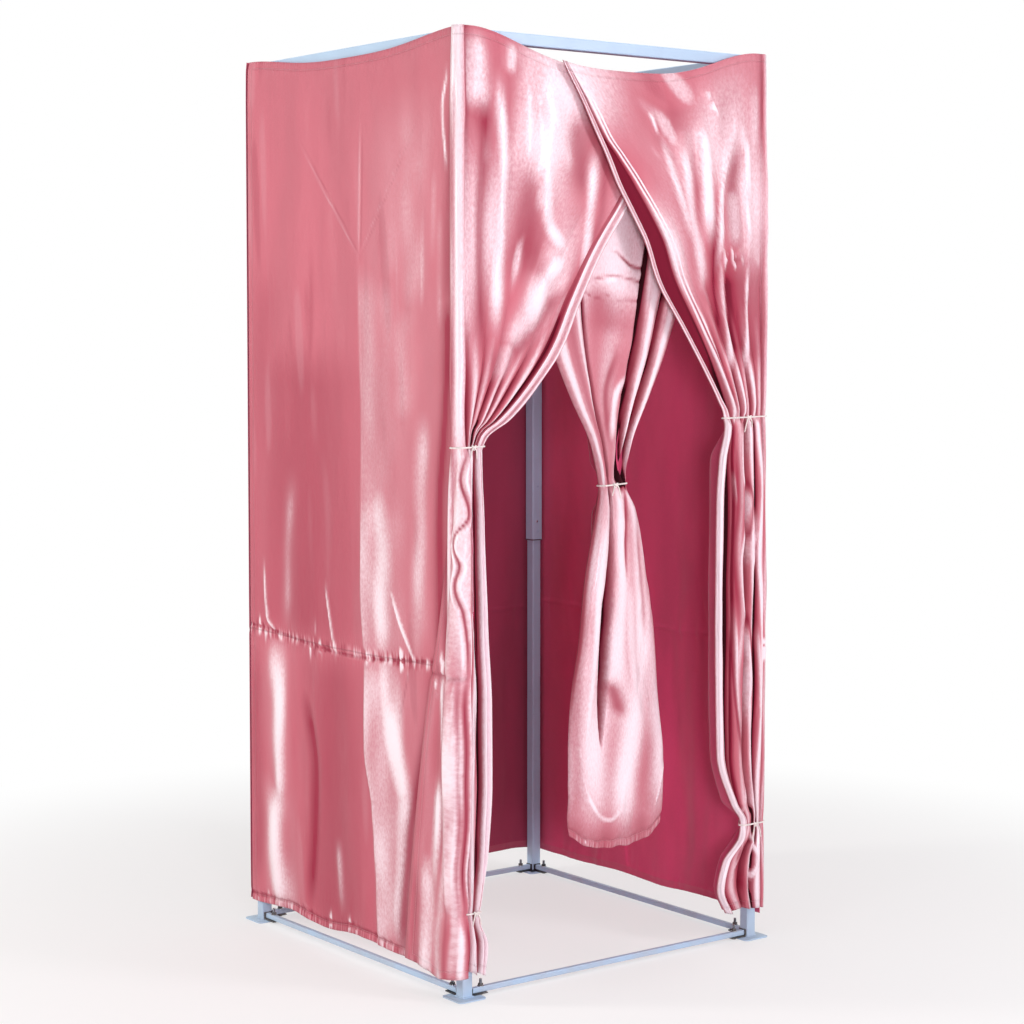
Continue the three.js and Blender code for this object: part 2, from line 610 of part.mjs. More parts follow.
// A cord round a box in plan, with a knot on its front side
function tie(name, box, height) {
  const grow = CORD_RADIUS + 2 * FIT_GAP;
  const x0 = box.x0 - grow;
  const x1 = box.x1 + grow;
  const y0 = box.y0 - grow;
  const y1 = box.y1 + grow;
  const path = new THREE.Path();
  const turn = Math.PI / 2;
  path.moveTo(x0 + TIE_CORNER, y0);
  path.lineTo(x1 - TIE_CORNER, y0);
  path.absarc(x1 - TIE_CORNER, y0 + TIE_CORNER, TIE_CORNER, -turn, 0);
  path.lineTo(x1, y1 - TIE_CORNER);
  path.absarc(x1 - TIE_CORNER, y1 - TIE_CORNER, TIE_CORNER, 0, turn);
  path.lineTo(x0 + TIE_CORNER, y1);
  path.absarc(x0 + TIE_CORNER, y1 - TIE_CORNER, TIE_CORNER, turn, 2 * turn);
  path.lineTo(x0, y0 + TIE_CORNER);
  path.absarc(x0 + TIE_CORNER, y0 + TIE_CORNER, TIE_CORNER, 2 * turn, 3 * turn);
  const centres = path.getPoints(ROUND_STEPS).slice(0, -1);
  const points = [];
  const index = [];
  centres.forEach((centre, i) => {
    const before = centres[(i + centres.length - 1) % centres.length];
    const after = centres[(i + 1) % centres.length];
    const way = after.clone().sub(before).normalize();
    for (let k = 0; k < CORD_SIDES; k++) {
      const angle = (2 * Math.PI * k) / CORD_SIDES;
      const out = CORD_RADIUS * Math.cos(angle);
      points.push(centre.x + way.y * out, centre.y - way.x * out, height + CORD_RADIUS * Math.sin(angle));
      const a = i * CORD_SIDES + k;
      const b = i * CORD_SIDES + ((k + 1) % CORD_SIDES);
      const c = ((i + 1) % centres.length) * CORD_SIDES;
      index.push(a, c + k, b, b, c + k, c + ((k + 1) % CORD_SIDES));
    }
  });
  const geometry = new THREE.BufferGeometry();
  geometry.setAttribute("position", new THREE.Float32BufferAttribute(points, 3));
  geometry.setIndex(index);
  const loop = solidOf(geometry);
  const knot = new THREE.SphereGeometry(KNOT_RADIUS, KNOT_SIDES, KNOT_RINGS);
  knot.translate((x0 + x1) / 2, y0 - CORD_RADIUS, height);
  addMesh(name, geometryOf(loop.add(solidOf(knot))), WHITE_CORD);
}

// The box in plan that a curtain's tie goes round: the pleats of one row, and the post behind
// them where the tie holds it too
function bundleBox([, leadShare, outerShare, foldShare], way, holdsPost) {
  const ends = [-outerShare, leadShare].map((share) => way * (HALF_WIDTH - share * ROOM_WIDTH));
  const reach = holdsPost ? POST_FACE : 0;
  return {
    x0: Math.min(...ends.map((x) => x - CLOTH / 2), way * HALF_WIDTH - reach),
    x1: Math.max(...ends.map((x) => x + CLOTH / 2), way * HALF_WIDTH + reach),
    y0: -(HALF_DEPTH + CURTAIN_FACE + CLOTH + CURTAIN_FOLD * foldShare),
    y1: holdsPost ? POST_FACE - HALF_DEPTH : -(HALF_DEPTH + CURTAIN_FACE),
  };
}

// A tie lies midway between its row and the next one, which are alike
const rowHeight = (shares, row) => (ROOM_HEIGHT * (shares[row][0] + shares[row + 1][0])) / 2;
const INNER_TIE_ROW = 8;
const TIES = [
  { name: "left_upper_tie", shares: LEFT_CURTAIN_SHARES, row: 8, way: -1, holdsPost: true },
  { name: "left_lower_tie", shares: LEFT_CURTAIN_SHARES, row: 14, way: -1, holdsPost: false },
  { name: "right_upper_tie", shares: RIGHT_CURTAIN_SHARES, row: 7, way: 1, holdsPost: true },
  { name: "right_lower_tie", shares: RIGHT_CURTAIN_SHARES, row: 14, way: 1, holdsPost: true },
];

for (const { name, shares, row, way, holdsPost } of TIES) {
  tie(name, bundleBox(shares[row], way, holdsPost), rowHeight(shares, row));
}

function innerTieBox() {
  const [, middleShare, halfShare, swingShare, foldShare] = INNER_CURTAIN_SHARES[INNER_TIE_ROW];
  const front = -(HALF_DEPTH + CURTAIN_FACE - FIT_GAP - INNER_SWING * swingShare);
  return {
    x0: ROOM_WIDTH * (middleShare - halfShare) - CLOTH / 2,
    x1: ROOM_WIDTH * (middleShare + halfShare) + CLOTH / 2,
    y0: front,
    y1: front + CLOTH + INNER_FOLD * foldShare,
  };
}

tie("inner_tie", innerTieBox(), rowHeight(INNER_CURTAIN_SHARES, INNER_TIE_ROW));

// The origin is on the floor under the middle of the whole room's box
room.updateMatrixWorld(true);
const outline = new THREE.Box3().setFromObject(room);
const middle = outline.getCenter(new THREE.Vector3());
room.position.set(-middle.x, -middle.y, -outline.min.z);

export default room;
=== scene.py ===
"""Looks of the portable fitting room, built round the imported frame."""

import json
import math

import bpy
import numpy as np
from mathutils import Euler, Matrix, Vector

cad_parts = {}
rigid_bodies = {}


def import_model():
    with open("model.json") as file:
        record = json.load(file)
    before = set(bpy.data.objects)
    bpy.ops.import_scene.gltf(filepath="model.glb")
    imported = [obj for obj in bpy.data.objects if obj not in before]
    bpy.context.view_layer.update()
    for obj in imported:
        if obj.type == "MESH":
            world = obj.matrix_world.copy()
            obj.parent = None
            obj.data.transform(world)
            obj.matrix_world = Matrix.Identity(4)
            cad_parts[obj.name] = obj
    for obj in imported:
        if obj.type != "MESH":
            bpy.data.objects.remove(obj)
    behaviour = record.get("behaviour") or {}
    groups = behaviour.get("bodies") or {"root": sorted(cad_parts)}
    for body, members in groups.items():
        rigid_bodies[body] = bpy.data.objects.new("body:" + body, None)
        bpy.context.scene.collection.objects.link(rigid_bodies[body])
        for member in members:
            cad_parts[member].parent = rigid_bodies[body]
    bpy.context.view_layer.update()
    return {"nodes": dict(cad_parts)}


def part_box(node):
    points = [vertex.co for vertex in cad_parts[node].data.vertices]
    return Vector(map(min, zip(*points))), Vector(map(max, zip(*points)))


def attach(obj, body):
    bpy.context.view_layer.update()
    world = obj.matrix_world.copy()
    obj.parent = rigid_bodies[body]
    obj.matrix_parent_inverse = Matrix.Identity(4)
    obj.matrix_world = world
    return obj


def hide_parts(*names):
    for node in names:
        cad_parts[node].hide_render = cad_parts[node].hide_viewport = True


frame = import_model()

bl_info = {
    "name": "Portable fitting room",
    "version": (1, 0, 0),
    "blender": (4, 5, 0),
    "location": "View3D > Sidebar > Fitting room",
    "description": "Satin panels, cords and painted frame of a portable fitting room",
    "category": "Object",
}

CORNERS = ("front_left", "front_right", "rear_left", "rear_right")
LOWER = "lower_frame"
UPPER = "upper_frame"


def posts_middle():
    """The point midway between the four posts, on the floor"""
    boxes = [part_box("lower_post_" + corner) for corner in CORNERS]
    middle = sum(((low + high) / 2 for low, high in boxes), Vector()) / len(boxes)
    return Vector((middle.x, middle.y, 0))


MIDDLE = posts_middle()
HALF_X = (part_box("lower_post_front_right")[0].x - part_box("lower_post_front_left")[0].x) / 2
HALF_Y = (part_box("lower_post_rear_left")[0].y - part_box("lower_post_front_left")[0].y) / 2
POST_FACE = (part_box("upper_post_front_left")[1].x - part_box("upper_post_front_left")[0].x) / 2
ROOM_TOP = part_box("corner_pocket_front_left")[1].z


def linear(red, green, blue):
    """A colour given from 0 to 255, as Blender's linear values"""
    shares = (red / 255, green / 255, blue / 255)
    return tuple(c / 12.92 if c <= 0.04045 else ((c + 0.055) / 1.055) ** 2.4 for c in shares)


def tinted(colour, share):
    """A colour made darker or brighter"""
    return tuple(min(1, c * share) for c in colour)


# Sizes and colours that a user would change


class ClothSettings(bpy.types.PropertyGroup):
    thickness: bpy.props.FloatProperty(
        name="Thickness", description="Thickness of the satin", default=0.0011, min=0.0005, unit="LENGTH")
    hem: bpy.props.FloatProperty(
        name="Hem", description="Depth of the stitched hems", default=0.018, min=0.005, unit="LENGTH")
    face_gap: bpy.props.FloatProperty(
        name="Gap to the posts", description="From a post's face to the cloth's inner side", default=0.0024,
        unit="LENGTH")
    wall_gap: bpy.props.FloatProperty(
        name="Wall gap", description="How far the walls hang off the posts", default=0.0058, unit="LENGTH")
    hem_height: bpy.props.FloatProperty(
        name="Hem height", description="From the floor to the walls' hem", default=0.053, unit="LENGTH")
    side_sag: bpy.props.FloatProperty(
        name="Side sag", description="Sag of the walls' top hem", default=0.027, unit="LENGTH")
    front_sag: bpy.props.FloatProperty(
        name="Front sag", description="Sag of the curtains' top hem", default=0.068, unit="LENGTH")
    seam: bpy.props.FloatProperty(
        name="Seam", description="Height of the gathered seam", default=0.69, unit="LENGTH")
    rows: bpy.props.IntProperty(name="Rows", description="Rows of points in a panel", default=320, min=40)
    columns: bpy.props.IntProperty(name="Columns", description="Points across a panel", default=140, min=30)


class ColourSettings(bpy.types.PropertyGroup):
    satin: bpy.props.FloatVectorProperty(
        name="Satin", description="Shiny side of the cloth", size=3, subtype="COLOR",
        default=linear(200, 98, 114))
    # Painted shade: the colour that the shiny side is blended to down in its folds
    fold_shade: bpy.props.FloatVectorProperty(
        name="Deep folds", description="Shiny side down in the folds", size=3, subtype="COLOR",
        default=linear(150, 22, 56))
    # Painted highlight: the colour that the shiny side is blended to along its crests
    painted_sheen: bpy.props.FloatVectorProperty(
        name="Lit folds", description="Shiny side on the crests", size=3, subtype="COLOR",
        default=linear(255, 238, 244))
    inside: bpy.props.FloatVectorProperty(
        name="Inside", description="Matt side of the cloth", size=3, subtype="COLOR",
        default=linear(214, 72, 114))
    paint: bpy.props.FloatVectorProperty(
        name="Paint", description="Paint of the posts and bars", size=3, subtype="COLOR",
        default=linear(180, 208, 232))
    black: bpy.props.FloatVectorProperty(
        name="Black", description="Paint of the brackets and bolts", size=3, subtype="COLOR",
        default=linear(30, 30, 33))
    cord: bpy.props.FloatVectorProperty(
        name="Cord", description="The ties", size=3, subtype="COLOR",
        default=linear(246, 238, 232))


class StageSettings(bpy.types.PropertyGroup):
    lens: bpy.props.FloatProperty(
        name="Lens", description="Focal length", default=80.3, subtype="DISTANCE_CAMERA")
    shift: bpy.props.FloatProperty(name="Shift", description="Vertical shift of the view", default=-0.05)
    eye: bpy.props.FloatVectorProperty(
        name="Eye", description="Camera, from the middle of the posts", size=3, subtype="XYZ",
        default=(-3.1415, -4.184, 1.3876))
    yaw: bpy.props.FloatProperty(
        name="Yaw", description="Turn from +Y", default=math.radians(37.14), subtype="ANGLE")
    pitch: bpy.props.FloatProperty(
        name="Pitch", description="Tilt, upward above zero", default=math.radians(-3.31), subtype="ANGLE")
    world: bpy.props.FloatProperty(
        name="World", description="Strength of the even light", default=0.26, min=0)


# Shader values as Python sums


class Value:
    """A shader socket or a number that takes part in Python sums"""

    def __init__(self, finish, socket):
        self.finish = finish
        self.socket = socket

    def do(self, operation, *others):
        return self.finish.maths(operation, self, *others)

    def __add__(self, other):
        return self.do("ADD", other)

    def __sub__(self, other):
        return self.do("SUBTRACT", other)

    def __mul__(self, other):
        return self.do("MULTIPLY", other)

    def __truediv__(self, other):
        return self.do("DIVIDE", other)

    __radd__ = __add__
    __rmul__ = __mul__

    def __rsub__(self, other):
        return self.finish.maths("SUBTRACT", other, self)

    def above(self, edge):
        return self.do("GREATER_THAN", edge)

    def clamp(self):
        return self.finish.node("ShaderNodeClamp", {}, {"Value": self})["Result"]

    def ramp(self, low, high, to_low=0.0, to_high=1.0):
        return self.finish.node(
            "ShaderNodeMapRange", {"interpolation_type": "SMOOTHSTEP"},
            {"Value": self, "From Min": low, "From Max": high, "To Min": to_low, "To Max": to_high})["Result"]


class Made:
    """A made node, whose outputs are values"""

    def __init__(self, finish, node):
        self.finish = finish
        self.made = node

    def __getitem__(self, output):
        return Value(self.finish, self.made.outputs[output])


# Numbers of the colour sockets on a mix node, which share their names with others
MIX_FIRST = 6
MIX_SECOND = 7
MIX_RESULT = 2


class Nodes:
    """A node tree that is being built"""

    def __init__(self, tree):
        self.tree = tree

    def node(self, kind, settings, inputs):
        node = self.tree.nodes.new(kind)
        for key, value in settings.items():
            setattr(node, key, value)
        for key, value in inputs.items():
            self.feed(node.inputs[key], value)
        return Made(self, node)

    def feed(self, socket, value):
        if isinstance(value, Value):
            self.tree.links.new(value.socket, socket)
        elif isinstance(value, tuple) and len(value) == 3 and socket.type == "RGBA":
            socket.default_value = (*value, 1)
        else:
            socket.default_value = value

    def maths(self, operation, *values):
        return self.node("ShaderNodeMath", {"operation": operation}, dict(enumerate(values)))["Value"]

    def seen(self):
        """1 where the camera looks, straight, in a mirror or through glass, and 0 for all other light"""
        path = self.node("ShaderNodeLightPath", {}, {})
        return (path["Is Camera Ray"] + path["Is Glossy Ray"] + path["Is Transmission Ray"]).clamp()

    def mixed(self, share, first, second):
        return self.node("ShaderNodeMixShader", {}, {0: share, 1: first, 2: second})["Shader"]


class Finish(Nodes):
    """A material and its node tree"""

    def __init__(self, name):
        self.material = bpy.data.materials.new(name)
        self.material.use_nodes = True
        super().__init__(self.material.node_tree)
        self.shader = self.tree.nodes["Principled BSDF"]

    def noise(self, place, scale, detail=2.0, roughness=0.5):
        inputs = {"Vector": place, "Scale": scale, "Detail": detail, "Roughness": roughness}
        return self.node("ShaderNodeTexNoise", {}, inputs)["Fac"]

    def stretch(self, place, x, y, z):
        return self.node("ShaderNodeMapping", {}, {"Vector": place, "Scale": (x, y, z)})["Vector"]

    def blend(self, share, first, second):
        inputs = {"Factor": share, MIX_FIRST: first, MIX_SECOND: second}
        return self.node("ShaderNodeMix", {"data_type": "RGBA"}, inputs)[MIX_RESULT]

    def bump(self, height, strength, distance):
        inputs = {"Height": height, "Strength": strength, "Distance": distance}
        return self.node("ShaderNodeBump", {}, inputs)["Normal"]

    def objects(self):
        return self.node("ShaderNodeTexCoord", {}, {})["Object"]

    def own_map(self):
        return self.node("ShaderNodeUVMap", {"uv_map": "cut"}, {})["UV"]

    def own_value(self, name):
        return self.node("ShaderNodeAttribute", {"attribute_name": name}, {})["Fac"]

    def parts(self, vector):
        node = self.node("ShaderNodeSeparateXYZ", {}, {"Vector": vector})
        return node["X"], node["Y"], node["Z"]

    def set(self, **values):
        for key, value in values.items():
            self.feed(self.shader.inputs[key.replace("_", " ")], value)
        return self.material


def satin_finish(name, size, hem, colours, seam=None, crush=1.0):
    """The shiny side of a panel: crinkled satin, with painted highlights along its crests and painted shade,
    dark red, down in its folds
    """
    width, length = size
    finish = Finish(name)
    cut = finish.own_map()
    across, down, _ = finish.parts(cut)
    # How much painted shade and painted highlight each place gets, from the panel's own attributes
    painted_shade = finish.own_value("painted_shade")
    painted_highlight = finish.own_value("painted_highlight")
    slub = finish.noise(finish.stretch(cut, 1, 14, 1), 160, 3, 0.6)
    crinkle = finish.noise(finish.stretch(cut, 1, 0.4, 1), 46, 3, 0.5)
    grain = finish.noise(finish.stretch(cut, 1, 0.45, 1), 210, 3, 0.65)
    patch = finish.noise(cut, 4.5, 2)
    cloudy = finish.noise(finish.stretch(cut, 1, 0.25, 1), 9, 2)
    weave = finish.noise(finish.stretch(cut, 6, 1, 1), 900, 1)
    rim, fold_line, stitches = hem_marks(across, down, width, length, hem)
    pull = finish.noise(finish.stretch(cut, 105, 12, 1), 1, 2)
    near = 1 - rim.ramp(0.006, 0.05)
    tight = 1 - down.ramp(0.004, 0.022)
    if seam:
        away = (down - seam).do("ABSOLUTE")
        near = near.do("MAXIMUM", 1 - away.ramp(0.0, 0.055))
        fold_line = fold_line.do("MAXIMUM", 1 - away.ramp(0.0008, 0.0026))
        tight = tight.do("MAXIMUM", 1 - away.ramp(0.004, 0.020))
    # Painted highlights and painted shade in small ticks along the gathered seam and the hems, for their
    # puckers
    pucker_light_and_shade = (pull - 0.5) * (2.6 if seam else 0.9) * tight
    # How far each place is blended to the painted highlight colour; the coat's gloss follows the same share
    painted_light = painted_highlight * 1.12 + (grain - 0.5) * 0.6 * painted_highlight.ramp(0.0, 0.5) + pucker_light_and_shade
    painted_light = ((painted_light + painted_light.ramp(0.12, 0.88)) * 0.5).clamp()
    base = finish.blend(cloudy.ramp(0.3, 0.7), tuple(colours.satin), tinted(colours.satin, 0.88))
    base = finish.blend((slub - 0.5) * 0.4 + 0.1, base, linear(232, 150, 162))
    # Painted shade: dark red down in the folds, darker in the shaded gap and nearly black in the slits
    base = finish.blend((painted_shade * 1.1 - pucker_light_and_shade).clamp(), base, tuple(colours.fold_shade))
    base = finish.blend(painted_shade.ramp(0.82, 0.90), base, tinted(colours.fold_shade, 0.60))
    base = finish.blend(painted_shade.ramp(0.90, 0.98), base, tinted(colours.fold_shade, 0.12))
    painted_light = painted_light * (1 - painted_shade.ramp(0.82, 0.92))
    # Painted highlight along the crests
    base = finish.blend(painted_light, base, tuple(colours.painted_sheen))
    # Painted shade along the fold of each turned hem and along the gathered seam
    base = finish.blend(fold_line * 0.3, base, tinted(colours.satin, 0.35))
    base = finish.blend(stitches * 0.3, base, linear(250, 205, 208))
    rough = patch.ramp(0.3, 0.7, 0.30, 0.40) + (slub - 0.5) * 0.12 + fold_line * 0.1
    rough = rough + painted_shade.ramp(0.70, 0.88) * 0.55
    crumple = patch.ramp(0.38, 0.62, 0.2, 1.0) * (crinkle - 0.5) * crush + painted_highlight * (grain - 0.5) * 0.35
    height = crumple * 2.2 + (weave - 0.5) * 0.10 + stitches * 0.4 - fold_line * 0.5
    height = height + near * (pull - 0.5) * 1.8
    normal = finish.bump(height, 1.0, 0.0016)
    return finish.set(Base_Color=base, Roughness=rough, Normal=normal, Coat_Weight=painted_light * 0.7,
                      Coat_Roughness=0.24, Specular_IOR_Level=0.25)


def hem_marks(across, down, width, length, hem):
    """How near the cloth's edge each place is, the line of its turned hem and the stitches along that"""
    edge = across.do("MINIMUM", width - across)
    end = down.do("MINIMUM", length - down)
    rim = edge.do("MINIMUM", end)
    fold_line = (1 - (rim - hem).do("ABSOLUTE").ramp(0.0005, 0.0016)) * 0.35
    row = 1 - (rim - (hem - 0.002)).do("ABSOLUTE").ramp(0.0003, 0.0008)
    return rim, fold_line, row * ((across + down) * 330).do("FRACT").above(0.35)


def inside_finish(name, size, hem, colours, painted_light):
    """The matt side of a panel, where the weave shows as a fine twill with paler slubs. Its colour is
    scaled by painted_light, a painted light level for each wall
    """
    width, length = size
    finish = Finish(name)
    cut = finish.own_map()
    across, down, _ = finish.parts(cut)
    twill = (across * 1400 + down * 900).do("SINE")
    cloudy = finish.noise(finish.stretch(cut, 1, 0.3, 1), 7, 3)
    slub = finish.noise(finish.stretch(cut, 10, 1, 1), 120, 2)
    rim, _, _ = hem_marks(across, down, width, length, hem)
    turned = 1 - rim.ramp(hem - 0.0008, hem + 0.0002)
    # Painted light: the whole matt side made lighter or darker
    inside = tinted(colours.inside, painted_light)
    base = finish.blend(cloudy.ramp(0.3, 0.7), inside, tinted(inside, 0.82))
    base = finish.blend(slub.ramp(0.5, 0.75) * 0.25, base, tinted(inside, 1.3))
    base = finish.blend(turned * 0.3, base, tuple(colours.satin))
    normal = finish.bump(twill * 0.3 + (slub - 0.5) + turned * 1.5, 0.35, 0.0006)
    return finish.set(Base_Color=base, Roughness=cloudy.ramp(0.3, 0.7, 0.62, 0.74), Normal=normal,
                      Sheen_Weight=0.25, Sheen_Roughness=0.5, Specular_IOR_Level=0.3)


def paint_finish(name, colour, worn, roughness):
    """Sprayed paint with a little orange peel, rubbed through in specks and dusty lower down"""
    finish = Finish(name)
    place = finish.objects()
    _, _, height = finish.parts(place)
    peel = finish.noise(place, 420, 2)
    rubbed = finish.noise(finish.stretch(place, 1, 1, 0.2), 130, 4, 0.7)
    cloudy = finish.noise(place, 12, 2)
    scuff = rubbed.ramp(0.68, 0.74) * cloudy.ramp(0.45, 0.6)
    dust = height.ramp(0.0, 0.12, 0.22, 0.0) * cloudy.ramp(0.35, 0.6)
    base = finish.blend(cloudy.ramp(0.3, 0.7) * 0.5, colour, tinted(colour, 0.9))
    base = finish.blend(scuff * 0.7, base, worn)
    base = finish.blend(dust, base, linear(196, 186, 176))
    rough = peel.ramp(0.3, 0.7, roughness - 0.05, roughness + 0.06) + scuff * 0.2 + dust * 0.4
    normal = finish.bump(peel - scuff * 0.5, 0.12, 0.0006)
    return finish.set(Base_Color=base, Roughness=rough, Normal=normal, Specular_IOR_Level=0.5)


def steel_finish(name, colour, roughness):
    """Bright steel with fine drawn lines"""
    finish = Finish(name)
    place = finish.objects()
    lines = finish.noise(finish.stretch(place, 1, 1, 0.05), 700, 3)
    cloudy = finish.noise(place, 60, 2)
    base = finish.blend(cloudy.ramp(0.35, 0.7) * 0.5, colour, tinted(colour, 0.7))
    rough = lines.ramp(0.3, 0.7, roughness - 0.06, roughness + 0.1)
    return finish.set(Base_Color=base, Roughness=rough, Metallic=1.0, Normal=finish.bump(lines, 0.15, 0.0003))


def plastic_finish(name, colour):
    """Moulded plastic with a fine grain"""
    finish = Finish(name)
    place = finish.objects()
    grain = finish.noise(place, 900, 2)
    cloudy = finish.noise(place, 40, 2)
    base = finish.blend(cloudy.ramp(0.3, 0.7), colour, tinted(colour, 0.85))
    rough = grain.ramp(0.3, 0.7, 0.42, 0.56)
    return finish.set(Base_Color=base, Roughness=rough, Normal=finish.bump(grain, 0.2, 0.0003))


def cord_finish(name, colour):
    """Braided cord, fuzzy and slightly grubby"""
    finish = Finish(name)
    place = finish.objects()
    fuzz = finish.noise(place, 1500, 3, 0.7)
    cloudy = finish.noise(place, 90, 2)
    base = finish.blend(cloudy.ramp(0.35, 0.7), colour, tinted(colour, 0.82))
    rough = fuzz.ramp(0.2, 0.8, 0.7, 0.9)
    return finish.set(Base_Color=base, Roughness=rough, Normal=finish.bump(fuzz, 0.4, 0.0006),
                      Sheen_Weight=0.3, Sheen_Roughness=0.6)


# Cloth


def smooth(low, high, value):
    share = np.clip((np.asarray(value, float) - low) / (high - low), 0, 1)
    return share * share * (3 - 2 * share)


def ridge(at, centre, width):
    """One soft ridge, one high"""
    return np.exp(-(((at - centre) / width) ** 2))


def glide(places, values, at):
    """A curve through the given values that never overshoots them"""
    order = np.argsort(places)
    x, y = np.asarray(places, float)[order], np.asarray(values, float)[order]
    slope = np.diff(y) / np.diff(x)
    into, away = slope[:-1], slope[1:]
    inner = np.where(into * away > 0, 2 * into * away / (into + away + 1e-12), 0)
    tangent = np.concatenate([[slope[0]], inner, [slope[-1]]])
    at = np.clip(at, x[0], x[-1])
    i = np.clip(np.searchsorted(x, at) - 1, 0, len(x) - 2)
    step = x[i + 1] - x[i]
    t = (at - x[i]) / step
    return (y[i] * (1 + 2 * t) * (1 - t) ** 2 + tangent[i] * step * t * (1 - t) ** 2
            + y[i + 1] * t * t * (3 - 2 * t) + tangent[i + 1] * step * t * t * (t - 1))


def waves(seed, across, up, length, stretch, count=14):
    """Soft random ups and downs, about one high: length across and length times stretch upward"""
    rng = np.random.default_rng(seed)
    total = np.zeros(np.broadcast(across, up).shape)
    for _ in range(count):
        turn = rng.uniform(-1, 1) * 1.2
        pitch = length * rng.uniform(0.7, 1.5)
        run = across * math.cos(turn) / pitch + up * math.sin(turn) / (pitch * stretch)
        total += np.sin(2 * np.pi * run + rng.uniform(0, 2 * np.pi))
    return total * math.sqrt(1.4 / count)


def spread(low, high, count, spots):
    """Places from low to high, closer together near the spots: (place, width, how much closer)"""
    dense = np.linspace(low, high, 4000)
    weight = 1 + sum(much * ridge(dense, place, width) for place, width, much in spots)
    total = np.cumsum(weight) - weight[0]
    return np.interp(np.linspace(0, total[-1], count), total, dense)


def hem_sag(place, sag):
    return sag / 2 * (1 + np.cos(np.pi * np.minimum(np.abs(place), 1) ** 1.5))


def crease(across, centre, width):
    """One sharp ridge along a line"""
    return np.maximum(0, 1 - np.abs(across - centre) / width) ** 1.5


def pick(*pieces):
    """Select only these pieces, with the first one active"""
    bpy.ops.object.select_all(action="DESELECT")
    for piece in pieces:
        piece.select_set(True)
    bpy.context.view_layer.objects.active = pieces[0]


def mesh_piece(name, points, faces):
    """A picked piece made from its points and faces"""
    mesh = bpy.data.meshes.new(name)
    mesh.from_pydata(points, [], faces)
    piece = bpy.data.objects.new(name, mesh)
    bpy.context.scene.collection.objects.link(piece)
    pick(piece)
    return piece


def cloth_piece(name, points, cut, shades, finishes, thickness):
    """A panel of cloth from rows of points on its shiny side, with its cut as its UV map"""
    rows, columns = points.shape[:2]
    index = np.arange(rows * columns).reshape(rows, columns)
    faces = np.stack([index[:-1, :-1], index[1:, :-1], index[1:, 1:], index[:-1, 1:]], -1).reshape(-1, 4)
    piece = mesh_piece(name, points.reshape(-1, 3).tolist(), faces.tolist())
    mesh = piece.data
    corners = np.zeros(len(mesh.loops), np.int32)
    mesh.loops.foreach_get("vertex_index", corners)
    layer = mesh.uv_layers.new(name="cut")
    layer.data.foreach_set("uv", cut.reshape(-1, 2)[corners].astype(np.float32).ravel())
    # The painted shade and painted highlight of each point, kept as attributes that the satin reads
    for key, shade_of in zip(("painted_shade", "painted_highlight"), shades):
        values = np.clip(shade_of, 0, 1).astype(np.float32).ravel()
        mesh.attributes.new(key, "FLOAT", "POINT").data.foreach_set("value", values)
    for finish in finishes:
        mesh.materials.append(finish)
    solid = piece.modifiers.new("thickness", "SOLIDIFY")
    solid.thickness = thickness
    solid.offset = -1
    solid.material_offset = 1
    bpy.ops.object.modifier_apply(modifier=solid.name)
    mesh.polygons.foreach_set("use_smooth", np.ones(len(mesh.polygons), bool))
    return piece


def gather(place, height, seam, seed, reach=0.03, pitch=0.021, depth=0.0016):
    """Puckers that run up and down from a gathered seam"""
    lines = waves(seed, place, height, pitch, 5, 10)
    uneven = smooth(-0.8, 1.2, waves(seed + 2, place, height * 0, 0.09, 1, 6))
    length = reach * (0.7 + 0.6 * smooth(-1, 1, waves(seed + 3, place, height * 0, 0.05, 1, 6)))
    near = np.exp(-np.abs(height - seam) / length)
    stitch = ridge(height, seam, 0.005)
    return depth * lines * uneven * near - 0.0024 * stitch


def drawn_lines(along, up, lines):
    """The sharp creases of a panel, each (its places, width, height)"""
    shape = np.zeros(np.broadcast(along, up).shape)
    for places, width, depth in lines:
        heights = [place[1] for place in places]
        centre = glide(heights, [place[0] for place in places], up)
        low, high = min(heights), max(heights)
        fade = smooth(low - 0.03, low + 0.05, up) * smooth(high + 0.02, high - 0.4 * (high - low), up)
        shape = shape + crease(along, centre, width) * fade * depth
    return shape


def folded(along, up, folds, seed):
    """How much painted shade and painted highlight a panel's folds get. A fold is its strength, a painted
    highlight above zero and painted shade below, its half width, its places as (along, up) and, where
    it ends sharply on its line, the side that it is on"""
    painted_shade = np.zeros(np.broadcast(along, up).shape)
    painted_highlight = np.zeros_like(painted_shade)
    wander = waves(seed, along, up, 0.12, 4)
    uneven = 0.84 + 0.16 * waves(seed + 1, along, up, 0.07, 3)
    for strength, width, places, *side in folds:
        heights = [place[1] for place in places]
        low, high = min(heights), max(heights)
        end = min(0.07, 0.20 * (high - low) + 0.004)
        centre = glide(heights, [place[0] for place in places], up)
        slope = (glide(heights, [place[0] for place in places], up + 0.002) - centre) / 0.002
        swing = 0 if side else min(0.006, 0.18 * width)
        away = (along + swing * wander - centre) / width / np.hypot(1, slope)
        line = np.exp(-away ** 2)
        if side:
            line = np.exp(-np.abs(away) ** 1.3) * smooth(-0.05, 0.01, away * side[0])
        line = line * smooth(low - end, low + end, up) * smooth(high + end, high - end, up) * abs(strength)
        if strength > 0:
            painted_highlight = np.maximum(painted_highlight, line * uneven)
        else:
            painted_shade = np.maximum(painted_shade, line)
    return painted_shade, painted_highlight
